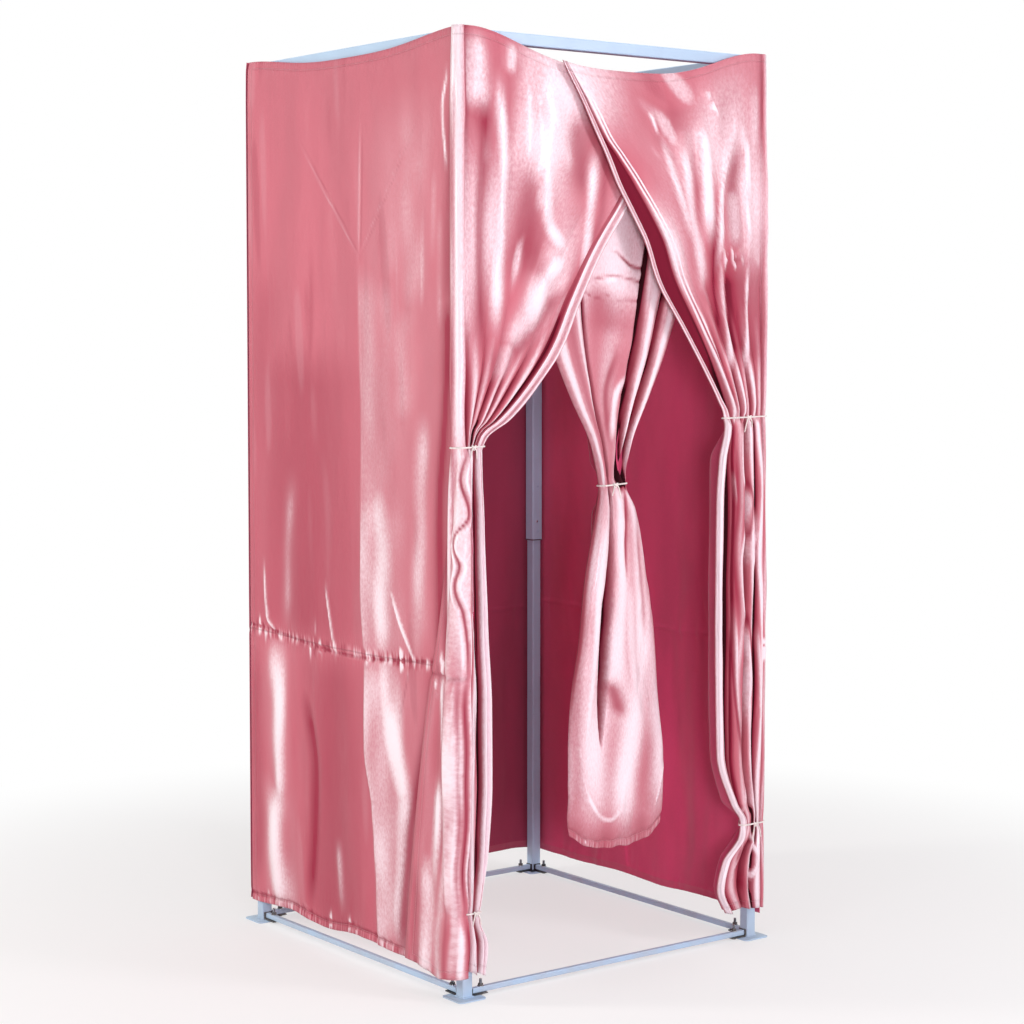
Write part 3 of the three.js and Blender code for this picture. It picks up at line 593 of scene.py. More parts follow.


# The folds of the left wall, from its rear post to the front one, and those of the others
# A fold above zero is a painted highlight and one below zero painted shade; they also raise or sink the
# wall's cloth a little
LEFT_FOLDS = [
    (0.26, 0.06, [(0.255, 1.8), (0.24, 1.66), (0.238, 1.44)]),
    (0.3, 0.014, [(0.328, 1.72), (0.326, 1.54)]), (0.3, 0.01, [(0.285, 1.66), (0.283, 1.44)]),
    (0.26, 0.012, [(0.352, 1.62), (0.35, 1.4)]), (0.3, 0.009, [(0.196, 1.58), (0.2, 1.34)]),
    (0.34, 0.19, [(0.047, 1.52), (0.05, 1.35), (0.058, 1.19), (0.056, 0.92)], 1),
    (0.55, 0.14, [(0.058, 1.05), (0.056, 0.85), (0.068, 0.68)], 1),
    (0.7, 0.05, [(0.127, 1.05), (0.136, 0.94), (0.125, 0.7)]),
    (0.45, 0.034, [(0.28, 1.2), (0.27, 0.93), (0.269, 0.72)]), (0.3, 0.06, [(0.21, 1.45), (0.215, 1.2)]),
    (-0.65, 0.024, [(0.398, 1.85), (0.391, 1.63), (0.378, 1.42)]),
    (-0.95, 0.022, [(0.38, 1.45), (0.367, 1.2), (0.353, 0.98), (0.346, 0.7)]),
    (-0.5, 0.23, [(-0.18, 1.34), (-0.17, 0.69)]), (-0.35, 0.07, [(-0.03, 1.25), (-0.02, 0.69)]),
    (-0.3, 0.06, [(-0.344, 1.5), (-0.348, 1.06)]), (0.22, 0.12, [(0.23, 1.86), (0.2, 1.5)]),
    (-0.34, 0.012, [(-0.145, 1.53), (-0.159, 1.24), (-0.165, 1.05)]),
    (0.36, 0.02, [(-0.232, 1.04), (-0.249, 0.89), (-0.262, 0.74)]),
    (0.95, 0.0045, [(-0.351, 0.84), (-0.341, 0.73), (-0.285, 0.68)]),
    (0.95, 0.004, [(-0.089, 0.82), (-0.048, 0.68)]),
    (0.95, 0.0055, [(0.172, 0.84), (0.205, 0.765), (0.245, 0.7)]),
    (1.0, 0.0045, [(0.374, 1.9), (0.36, 1.84), (0.373, 1.73)]),
    (0.85, 0.03, [(-0.296, 0.66), (-0.298, 0.48), (-0.287, 0.3)]),
    (0.95, 0.046, [(-0.305, 0.33), (-0.3, 0.2), (-0.27, 0.06)]),
    (-0.85, 0.03, [(-0.171, 0.56), (-0.135, 0.41), (-0.142, 0.27), (-0.162, 0.1)]),
    (-0.5, 0.13, [(-0.06, 0.67), (-0.05, 0.05)]), (0.5, 0.012, [(-0.04, 0.24), (-0.028, 0.11)]),
    (0.62, 0.12, [(0.069, 0.68), (0.068, 0.48), (0.096, 0.36), (0.117, 0.06)], 1),
    (0.95, 0.042, [(0.149, 0.68), (0.17, 0.52), (0.205, 0.38)]),
    (0.7, 0.05, [(0.212, 0.42), (0.214, 0.27), (0.213, 0.07)]),
    (-0.45, 0.0035, [(0.243, 0.7), (0.198, 0.57), (0.182, 0.51)]),
    (-1.0, 0.026, [(0.34, 0.7), (0.318, 0.57), (0.292, 0.48), (0.236, 0.31), (0.216, 0.06)]),
    (-0.4, 0.03, [(-0.389, 0.62), (-0.393, 0.12)]),
]
PLAIN_FOLDS = [
    (0.4, 0.06, [(-0.22, 1.8), (-0.2, 1.4)]), (0.35, 0.16, [(0.06, 1.5), (0.05, 1.1), (0.07, 0.72)], -1),
    (0.6, 0.045, [(-0.12, 1.15), (-0.14, 0.72)]), (-0.6, 0.025, [(0.33, 1.6), (0.345, 1.1), (0.32, 0.72)]),
    (-0.35, 0.14, [(0.19, 1.25), (0.17, 0.7)]), (-0.4, 0.03, [(-0.33, 1.5), (-0.32, 0.9)]),
    (0.5, 0.03, [(0.26, 1.05), (0.25, 0.72)]), (0.85, 0.04, [(0.29, 0.66), (0.27, 0.4), (0.3, 0.06)]),
    (-0.8, 0.03, [(0.19, 0.62), (0.16, 0.35), (0.17, 0.08)]),
    (0.6, 0.12, [(0.05, 0.66), (0.08, 0.4), (0.05, 0.06)], -1),
    (0.9, 0.045, [(-0.09, 0.66), (-0.12, 0.45), (-0.15, 0.07)]),
    (-0.8, 0.024, [(-0.23, 0.66), (-0.26, 0.4), (-0.24, 0.06)]),
    (0.65, 0.03, [(-0.33, 0.6), (-0.32, 0.1)]), (0.95, 0.005, [(-0.2, 0.8), (-0.225, 0.7)]),
    (0.95, 0.005, [(0.12, 0.82), (0.09, 0.69)]),
]
LEFT_CREASES = [
    ([(-0.194, 1.83), (0.044, 1.568)], 0.007, 0.0013), ([(0.29, 1.87), (0.055, 1.575)], 0.007, 0.0012),
    ([(0.056, 1.87), (0.047, 1.57)], 0.008, 0.0014),
    ([(0.047, 1.58), (0.055, 1.2), (0.056, 0.8)], 0.006, 0.001),
]
PLAIN_CREASES = [
    ([(-0.22, 1.84), (0.02, 1.56)], 0.007, 0.0012), ([(0.25, 1.83), (0.03, 1.56)], 0.007, 0.0012),
    ([(0.025, 1.86), (0.025, 1.56)], 0.008, 0.0012),
]


# How far a side wall and the rear wall reach past the middles of their posts
SIDE_REACH = 0.0160
REAR_REACH = 0.0235
# The crease height at which its painted highlight is full, and how far beside it its painted shadow lies
CREASE_HEIGHT = 0.0013
CREASE_SHADOW = 0.009


def wall(settings, side, folds, creases, seed):
    """A wall hung on two posts, its cut and its painted shade and highlights. side is (x, y) outward"""
    half = HALF_Y + SIDE_REACH if side[0] else HALF_X + REAR_REACH
    floor = settings.hem_height
    share = spread(-1, 1, settings.columns, [(-1, 0.03, 1.5), (1, 0.03, 1.5), (0.14, 0.02, 2)])[None, :]
    height = spread(floor, ROOM_TOP, settings.rows, [(settings.seam, 0.03, 1.5), (floor, 0.04, 1.2)])
    height = height[::-1, None]
    along = share * half + 0 * height
    up = height + 0 * share
    low = glide([floor, 0.35, 0.75, 1.2, 1.6, 2.0], [1.0, 1.0, 0.72, 0.5, 0.30, 0.15], up)
    inner = 1 - np.abs(share) ** 8
    seam = settings.seam + 0.010 * np.sin(share * 3 + seed)
    seam_puckers = gather(along, up, seam, seed + 5)
    hem_puckers = gather(along, up - floor, settings.hem, seed + 9, 0.02, 0.024, 0.0018)
    puckers = seam_puckers + hem_puckers
    lines = drawn_lines(along, up, creases)
    broad = waves(seed, along, up, 0.30, 4) * 0.0030
    middle = waves(seed + 1, along, up, 0.12, 6) * 0.0022
    patch = smooth(-0.7, 0.9, waves(seed + 4, along, up, 0.35, 1.6))
    small = waves(seed + 2, along, up, 0.050, 4) * 0.00065 * patch
    painted_shade, painted_highlight = folded(along, up, folds, seed + 20)
    strength = glide([floor, 0.5, 0.68, 0.74, 1.2, 1.6, 2.0],
                     [0.011, 0.009, 0.005, 0.005, 0.0035, 0.002, 0.001], up)
    shape = (broad + middle) * low + small * (0.35 + 0.65 * low) + strength * (painted_highlight - 0.6 * painted_shade)
    shape = (shape + lines) * inner + seam_puckers
    shape = shape + hem_puckers
    if side[0]:
        shape = shape * (1 - 0.65 * smooth(0.60, 0.72, -side[0] * share))
    shape = 0.0016 * np.logaddexp(0, (shape + 0.0034) / 0.0016)
    base = POST_FACE + settings.face_gap + settings.thickness
    out = base + settings.wall_gap * 0.25 * smooth(2.0, 1.9, up) + shape * smooth(2.004, 1.975, up)
    wander = waves(seed + 11, along, up * 0, 0.3, 1) * 0.004
    drop = hem_sag(share, settings.side_sag) * smooth(floor, 2.0, up) - wander * smooth(0.4, floor, up)
    if side[0]:
        x, y = MIDDLE.x + side[0] * (HALF_X + out), MIDDLE.y + side[0] * along
    else:
        x, y = MIDDLE.x - along, MIDDLE.y + HALF_Y + out
    cut = np.stack([along + half, up - floor], -1)
    # Painted highlights on the puckers' crests and painted shade in their hollows
    painted_highlight = np.maximum(painted_highlight, smooth(0.0003, 0.0016, puckers))
    painted_shade = np.maximum(painted_shade, 0.7 * smooth(-0.0006, -0.0020, puckers))
    # Painted highlight along each drawn crease and painted shadow just beside it
    drawn = np.clip(lines / CREASE_HEIGHT, 0, 1)
    beside = drawn_lines(along - CREASE_SHADOW, up, creases) / CREASE_HEIGHT - drawn
    painted_highlight = np.maximum(painted_highlight, 0.26 * drawn)
    painted_shade = np.maximum(painted_shade, 0.35 * np.clip(beside, 0, 1))
    # Fine upright streaks of painted highlight and painted shade over the whole wall
    streaks = waves(seed + 30, along, up, 0.055, 7) * smooth(-0.2, 1.0, waves(seed + 31, along, up, 0.25, 3))
    painted_highlight = np.maximum(painted_highlight * (1 - 0.8 * painted_shade ** 2), 0.10 * smooth(0.4, 1.6, streaks))
    painted_shade = np.minimum(np.maximum(painted_shade, 0.26 * smooth(-0.4, -1.6, streaks)), 0.80)
    return np.stack([x, y, up - drop], -1), cut, (painted_shade, painted_highlight)


# Curtains: height, reach of the lead edge in from the post's middle, how far the cloth goes round
# the post's outer corner, depth of the folds and width of the shaded gap behind the lead edge
LEFT_LINE = [
    (2.0, 0.576, 0.03, 0.002, 0.001), (1.93, 0.566, 0.034, 0.004, 0.001),
    (1.83, 0.505, 0.036, 0.004, 0.002), (1.66, 0.415, 0.036, 0.006, 0.003),
    (1.55, 0.345, 0.036, 0.01, 0.004), (1.44, 0.282, 0.036, 0.015, 0.006),
    (1.35, 0.236, 0.036, 0.018, 0.01), (1.27, 0.17, 0.036, 0.02, 0.01), (1.2, 0.095, 0.034, 0.02, 0.006),
    (1.165, 0.038, 0.032, 0.018, 0.003), (1.13, 0.025, 0.032, 0.017, 0.005),
    (1.1, 0.023, 0.034, 0.019, 0.008), (1.02, 0.027, 0.042, 0.024, 0.012),
    (0.92, 0.032, 0.055, 0.026, 0.019), (0.82, 0.037, 0.07, 0.027, 0.021),
    (0.75, 0.041, 0.085, 0.027, 0.02), (0.61, 0.05, 0.12, 0.027, 0.018), (0.45, 0.051, 0.15, 0.026, 0.018),
    (0.31, 0.04, 0.172, 0.024, 0.014), (0.2, 0.02, 0.188, 0.018, 0.003),
    (0.17, 0.019, 0.192, 0.017, 0.003), (0.12, 0.04, 0.198, 0.022, 0.008),
    (0.058, 0.03, 0.205, 0.022, 0.006),
]
RIGHT_LINE = [
    (2.0, 0.572, 0.03, 0.002, 0.001), (1.93, 0.526, 0.032, 0.004, 0.002),
    (1.848, 0.482, 0.032, 0.005, 0.006), (1.793, 0.455, 0.032, 0.007, 0.022),
    (1.724, 0.426, 0.032, 0.009, 0.042), (1.66, 0.392, 0.032, 0.011, 0.048),
    (1.585, 0.351, 0.032, 0.013, 0.05), (1.5, 0.308, 0.032, 0.015, 0.05),
    (1.38, 0.222, 0.03, 0.018, 0.038), (1.29, 0.16, 0.028, 0.02, 0.026),
    (1.23, 0.122, 0.026, 0.021, 0.014), (1.195, 0.105, 0.024, 0.019, 0.004),
    (1.16, 0.108, 0.024, 0.02, 0.012), (1.1, 0.122, 0.026, 0.024, 0.026), (1.0, 0.13, 0.028, 0.026, 0.04),
    (0.76, 0.132, 0.032, 0.027, 0.038), (0.44, 0.126, 0.034, 0.027, 0.026),
    (0.32, 0.082, 0.03, 0.022, 0.008), (0.27, 0.05, 0.026, 0.016, 0.002),
    (0.245, 0.056, 0.026, 0.018, 0.002), (0.19, 0.106, 0.03, 0.024, 0.006),
    (0.13, 0.122, 0.03, 0.024, 0.006), (0.075, 0.096, 0.028, 0.022, 0.004),
]
# The flap: height, its middle, half its width and depth of the folds
INNER_LINE = [
    (1.984, 0.0, 0.38, 0.002), (1.9, 0.0, 0.352, 0.004), (1.8, 0.003, 0.312, 0.006),
    (1.64, 0.006, 0.256, 0.01), (1.48, 0.009, 0.205, 0.014), (1.34, 0.01, 0.158, 0.016),
    (1.24, 0.011, 0.108, 0.018), (1.13, 0.016, 0.052, 0.02), (1.05, 0.019, 0.034, 0.018),
    (0.99, 0.03, 0.054, 0.022), (0.9, 0.032, 0.074, 0.026), (0.84, 0.032, 0.084, 0.028),
    (0.7, 0.031, 0.102, 0.03), (0.61, 0.031, 0.115, 0.03), (0.52, 0.033, 0.124, 0.029),
    (0.41, 0.036, 0.134, 0.027), (0.3, 0.037, 0.136, 0.022), (0.255, 0.037, 0.13, 0.014),
]
# How far a curtain's groove lies behind the post's middle, where its turn round the corner starts and the
# radius of that, and the shares of its cloth where the turned part, the part before the gap and the gap end
GROOVE = 0.010
CORNER_START = 0.0150
CORNER_RADIUS = 0.0130
TURN_SHARE = 0.18
GAP_SHARE = 0.78
BAND_SHARE = 0.86
CURTAIN_WIDTH = 0.62
CURTAIN_SEAM = 0.672
# Heights of the ties, the upper one first
LEFT_TIES = (1.146, 0.185)
RIGHT_TIES = (1.19, 0.268)
INNER_TIE = 1.05


# The folds of the front, as (x, up): the left and the right curtain, the left one's part round its
# corner, as (toward the front, up), and the inner curtain with its folds that lie across, as (up, x)
# Each is a painted highlight above zero or painted shade below, which also raises or sinks the cloth a little
FRONT_LEFT_FOLDS = [
    (0.8, 0.024, [(-0.386, 1.98), (-0.386, 1.84)]),
    (-0.85, 0.015, [(-0.366, 1.88), (-0.366, 1.74), (-0.373, 1.6), (-0.377, 1.36)]),
    (0.85, 0.018, [(-0.329, 1.88), (-0.318, 1.75), (-0.329, 1.62), (-0.338, 1.4)]),
    (-0.75, 0.046, [(-0.249, 1.73), (-0.254, 1.62), (-0.268, 1.5)]),
    (0.8, 0.018, [(-0.243, 1.93), (-0.259, 1.75)]),
    (0.95, 0.024, [(-0.195, 1.93), (-0.167, 1.79), (-0.184, 1.71), (-0.194, 1.62), (-0.156, 1.55)]),
    (-0.65, 0.03, [(-0.123, 1.88), (-0.123, 1.7)]),
    (0.8, 0.02, [(-0.078, 1.78), (-0.089, 1.63), (-0.106, 1.5)]),
    (-0.45, 0.012, [(-0.045, 1.84), (-0.05, 1.66), (-0.12, 1.5)]),
    (0.95, 0.026, [(-0.167, 1.54), (-0.221, 1.48), (-0.286, 1.36)]),
    (-0.85, 0.017, [(-0.183, 1.46), (-0.249, 1.39), (-0.29, 1.33)]),
    (0.5, 0.02, [(-0.3, 1.36), (-0.33, 1.28)]), (-0.5, 0.014, [(-0.34, 1.34), (-0.356, 1.24)]),
    (0.6, 0.016, [(-0.29, 1.99), (-0.3, 1.93)]), (-0.35, 0.02, [(-0.215, 1.98), (-0.222, 1.84)]),
]
FRONT_RIGHT_FOLDS = [
    (0.7, 0.013, [(0.1, 1.84), (0.15, 1.69), (0.19, 1.58)]),
    (0.9, 0.014, [(0.156, 1.83), (0.179, 1.66), (0.226, 1.5)]),
    (0.95, 0.022, [(0.215, 1.87), (0.223, 1.75), (0.233, 1.6)]),
    (-0.45, 0.01, [(0.19, 1.82), (0.204, 1.62)]),
    (-0.9, 0.017, [(0.25, 1.66), (0.257, 1.5), (0.29, 1.34)]),
    (1.0, 0.009, [(0.332, 1.85), (0.3, 1.77), (0.276, 1.69), (0.268, 1.55)]),
    (1.0, 0.008, [(0.343, 1.85), (0.364, 1.72), (0.362, 1.55)]),
    (-0.8, 0.02, [(0.334, 1.79), (0.312, 1.66), (0.318, 1.57)]),
    (-0.95, 0.15, [(0.29, 1.535), (0.302, 1.38), (0.322, 1.29)], 1),
    (-0.75, 0.024, [(0.318, 1.548), (0.319, 1.53)]), (0.95, 0.003, [(0.283, 1.572), (0.289, 1.52)]),
    (0.8, 0.0022, [(0.296, 1.554), (0.292, 1.53)]), (0.95, 0.0034, [(0.309, 1.566), (0.314, 1.534)]),
    (0.85, 0.002, [(0.322, 1.55), (0.32, 1.516)]), (0.95, 0.0028, [(0.331, 1.57), (0.334, 1.538)]),
    (0.9, 0.0024, [(0.346, 1.556), (0.342, 1.524)]), (0.45, 0.03, [(0.316, 1.7), (0.316, 1.572)]),
    (0.9, 0.006, [(0.362, 1.53), (0.355, 1.24)]),
    (0.85, 0.006, [(0.276, 1.53), (0.3, 1.38), (0.318, 1.28)]),
    (0.9, 0.005, [(0.062, 1.91), (0.084, 1.86)]), (0.85, 0.005, [(0.229, 1.95), (0.267, 1.88)]),
    (0.6, 0.005, [(0.205, 1.89), (0.228, 1.83)]), (-0.35, 0.04, [(0.14, 1.92), (0.16, 1.86)]),
    (-0.3, 0.03, [(0.3, 1.93), (0.29, 1.8)]), (0.45, 0.02, [(0.375, 1.95), (0.38, 1.7)]),
]
CORNER_FOLDS = [
    (0.9, 0.008, [(0.365, 0.66), (0.365, 0.52)]), (0.95, 0.02, [(0.356, 0.44), (0.34, 0.24)]),
    (0.8, 0.03, [(0.318, 0.27), (0.3, 0.03)]), (0.85, 0.008, [(0.392, 1.12), (0.388, 0.7)]),
    (-0.8, 0.01, [(0.378, 1.0), (0.372, 0.72)]), (-0.7, 0.012, [(0.38, 0.62), (0.374, 0.3)]),
    (0.8, 0.01, [(0.404, 0.64), (0.402, 0.2)]), (-0.5, 0.014, [(0.268, 0.24), (0.262, 0.03)]),
]
INNER_FOLDS = [
    (0.95, 0.011, [(-0.01, 0.99), (-0.034, 0.83), (-0.046, 0.66), (-0.06, 0.5), (-0.072, 0.4)]),
    (0.75, 0.034, [(0.05, 0.86), (0.055, 0.76), (0.06, 0.66), (0.062, 0.52)]),
    (0.9, 0.008, [(0.086, 0.97), (0.122, 0.79), (0.144, 0.64), (0.156, 0.45)]),
    (0.35, 0.036, [(0.006, 0.44), (0.008, 0.36)]), (-0.75, 0.016, [(-0.002, 0.62), (0.02, 0.55)]),
    (0.95, 0.0035, [(0.166, 0.39), (0.142, 0.32)]), (-0.4, 0.012, [(-0.078, 0.66), (-0.09, 0.31)]),
    (-0.95, 0.0035, [(0.04, 1.04), (0.048, 0.97), (0.046, 0.86)]),
    (-0.4, 0.026, [(0.116, 0.5), (0.126, 0.3)]), (-0.6, 0.008, [(0.076, 0.96), (0.1, 0.72)]),
    (0.85, 0.046, [(0.053, 1.68), (0.021, 1.54)]), (-0.45, 0.05, [(-0.021, 1.47), (0.018, 1.38)]),
    (0.95, 0.009, [(0.058, 1.285), (0.03, 1.24), (0.018, 1.15)]),
    (-0.75, 0.01, [(0.03, 1.33), (0.004, 1.24), (0.01, 1.15)]),
]
ACROSS_FOLDS = [
    (1.0, 0.0075, [(0.47, -0.078), (0.4, -0.072), (0.36, -0.058), (0.33, -0.034), (0.318, -0.004),
        (0.326, 0.022), (0.352, 0.04), (0.4, 0.048)]),
    (-0.8, 0.004, [(1.555, 0.015), (1.522, 0.064), (1.512, 0.12)]),
    (0.8, 0.006, [(1.54, 0.02), (1.508, 0.07), (1.497, 0.118)]),
    (-0.6, 0.003, [(1.492, -0.05), (1.5, 0.01), (1.482, 0.12)]),
    (0.6, 0.005, [(1.476, -0.02), (1.488, 0.03), (1.464, 0.07)]),
    (-0.5, 0.004, [(1.436, 0.0), (1.452, 0.04), (1.446, 0.11)]),
    (-0.45, 0.05, [(0.272, -0.11), (0.262, 0.02), (0.272, 0.15)]),
    (-0.7, 0.0025, [(1.47, -0.075), (1.455, -0.03), (1.463, 0.01)]),
]
# The folds of the bundles below their ties, as (reach in from the post's middle, up)
# Each is a painted highlight above zero or painted shade below, and raises or sinks the cloth by a few
# millimetres
LEFT_BUNDLE_FOLDS = [
    (-0.88, 0.0016, [(-0.016, 1.14), (-0.022, 1.082), (-0.015, 1.01), (-0.031, 0.95), (-0.0235, 0.904),
        (-0.027, 0.865), (-0.0204, 0.805), (-0.017, 0.68)]),
    (0.95, 0.0018, [(-0.012, 1.14), (-0.018, 1.082), (-0.01, 1.01), (-0.027, 0.945), (-0.0195, 0.904),
        (-0.023, 0.865), (-0.0164, 0.805), (-0.013, 0.68)]),
    (0.9, 0.0018, [(-0.02, 1.14), (-0.026, 1.082), (-0.02, 1.015), (-0.035, 0.955), (-0.0275, 0.904),
        (-0.031, 0.865), (-0.0246, 0.805), (-0.021, 0.68)]),
    (-0.35, 0.003, [(-0.028, 1.12), (-0.03, 1.04)]), (-0.4, 0.006, [(-0.008, 0.93), (-0.006, 0.86)]),
    (-0.9, 0.002, [(-0.018, 0.66), (-0.0186, 0.45), (-0.0184, 0.2)]),
    (-0.5, 0.0016, [(-0.0238, 0.66), (-0.0242, 0.2)]), (0.95, 0.0018, [(-0.0268, 0.66), (-0.027, 0.2)]),
    (0.95, 0.0022, [(-0.014, 0.66), (-0.0145, 0.2)]), (-0.4, 0.004, [(-0.004, 0.64), (-0.005, 0.3)]),
    (-0.8, 0.002, [(-0.018, 0.17), (-0.014, 0.05)]), (0.9, 0.003, [(-0.024, 0.17), (-0.022, 0.05)]),
    (0.9, 0.003, [(-0.01, 0.17), (-0.004, 0.05)]),
]
RIGHT_BUNDLE_FOLDS = [
    (0.98, 0.0042, [(0.05, 1.155), (0.046, 1.068), (0.03, 1.0), (0.036, 0.943), (0.052, 0.865),
        (0.05, 0.79), (0.036, 0.7), (0.03, 0.606), (0.034, 0.535)]),
    (-0.8, 0.0034, [(0.04, 1.15), (0.036, 1.068), (0.021, 1.0), (0.027, 0.943), (0.043, 0.865),
        (0.041, 0.79), (0.027, 0.7), (0.021, 0.606)]),
    (-0.8, 0.012, [(0.066, 1.13), (0.06, 0.99), (0.07, 0.9), (0.062, 0.74)]),
    (0.85, 0.0026, [(0.07, 1.06), (0.064, 1.0)]), (0.8, 0.011, [(0.018, 0.97), (0.022, 0.86)]),
    (0.95, 0.004, [(0.012, 0.93), (0.024, 0.85)]),
    (0.95, 0.0042, [(0.07, 0.72), (0.066, 0.6), (0.05, 0.46), (0.036, 0.36), (0.04, 0.29)]),
    (-0.85, 0.006, [(0.082, 0.72), (0.068, 0.56), (0.044, 0.42)]),
    (0.95, 0.0034, [(0.01, 0.7), (0.004, 0.52)]), (-0.6, 0.009, [(0.014, 0.52), (0.018, 0.34)]),
    (-0.85, 0.016, [(0.034, 0.23), (0.052, 0.17), (0.044, 0.11)]),
    (0.95, 0.0036, [(0.04, 0.25), (0.046, 0.21), (0.074, 0.165)]),
    (0.95, 0.0036, [(0.02, 0.25), (0.006, 0.19), (0.03, 0.13)]),
]


def rolls(place, up, edges, sizes, power, seed):
    """Rounded rolls side by side between the edges: their shape, the painted shade on their sides, the
    painted highlight on their crests, which roll each place is on and where on it, from -1 to 1"""
    index = np.clip(np.searchsorted(edges, place) - 1, 0, len(edges) - 2)
    t = 2 * (place - edges[index]) / (edges[index + 1] - edges[index]) - 1
    size = np.asarray(sizes)[index] * (0.9 + 0.1 * waves(seed, index * 0.37, up, 0.4, 0.8, 8))
    shape = np.clip(1 - np.abs(t) ** 2.2, 0, 1) ** power * size
    sway = 0.24 * waves(seed + 1, index * 0.71, up, 0.30, 1, 8)
    crest_highlight = ridge(t, sway, 0.42) * np.clip(size, 0, 1)
    return shape, smooth(0.45, 0.92, np.abs(t)), crest_highlight, index, t


def slits(place, edges, width):
    """One on each edge between two rolls, and nothing between them"""
    return np.clip(sum(ridge(place, edge, width) for edge in edges[1:-1]), 0, 1)


def round_corner(way, reach, out, face):
    """From the way along a curtain to its place in plan: along the front and round the post's corner"""
    past = np.maximum(-reach - CORNER_START, 0)
    turn = np.minimum(past / CORNER_RADIUS, np.pi / 2)
    straight = np.maximum(past - CORNER_RADIUS * np.pi / 2, 0)
    on_front = HALF_X - np.maximum(reach, -CORNER_START)
    x = on_front + (CORNER_RADIUS + out) * np.sin(turn)
    y = -(HALF_Y + face - CORNER_RADIUS) - (CORNER_RADIUS + out) * np.cos(turn) + straight
    return way * x, y


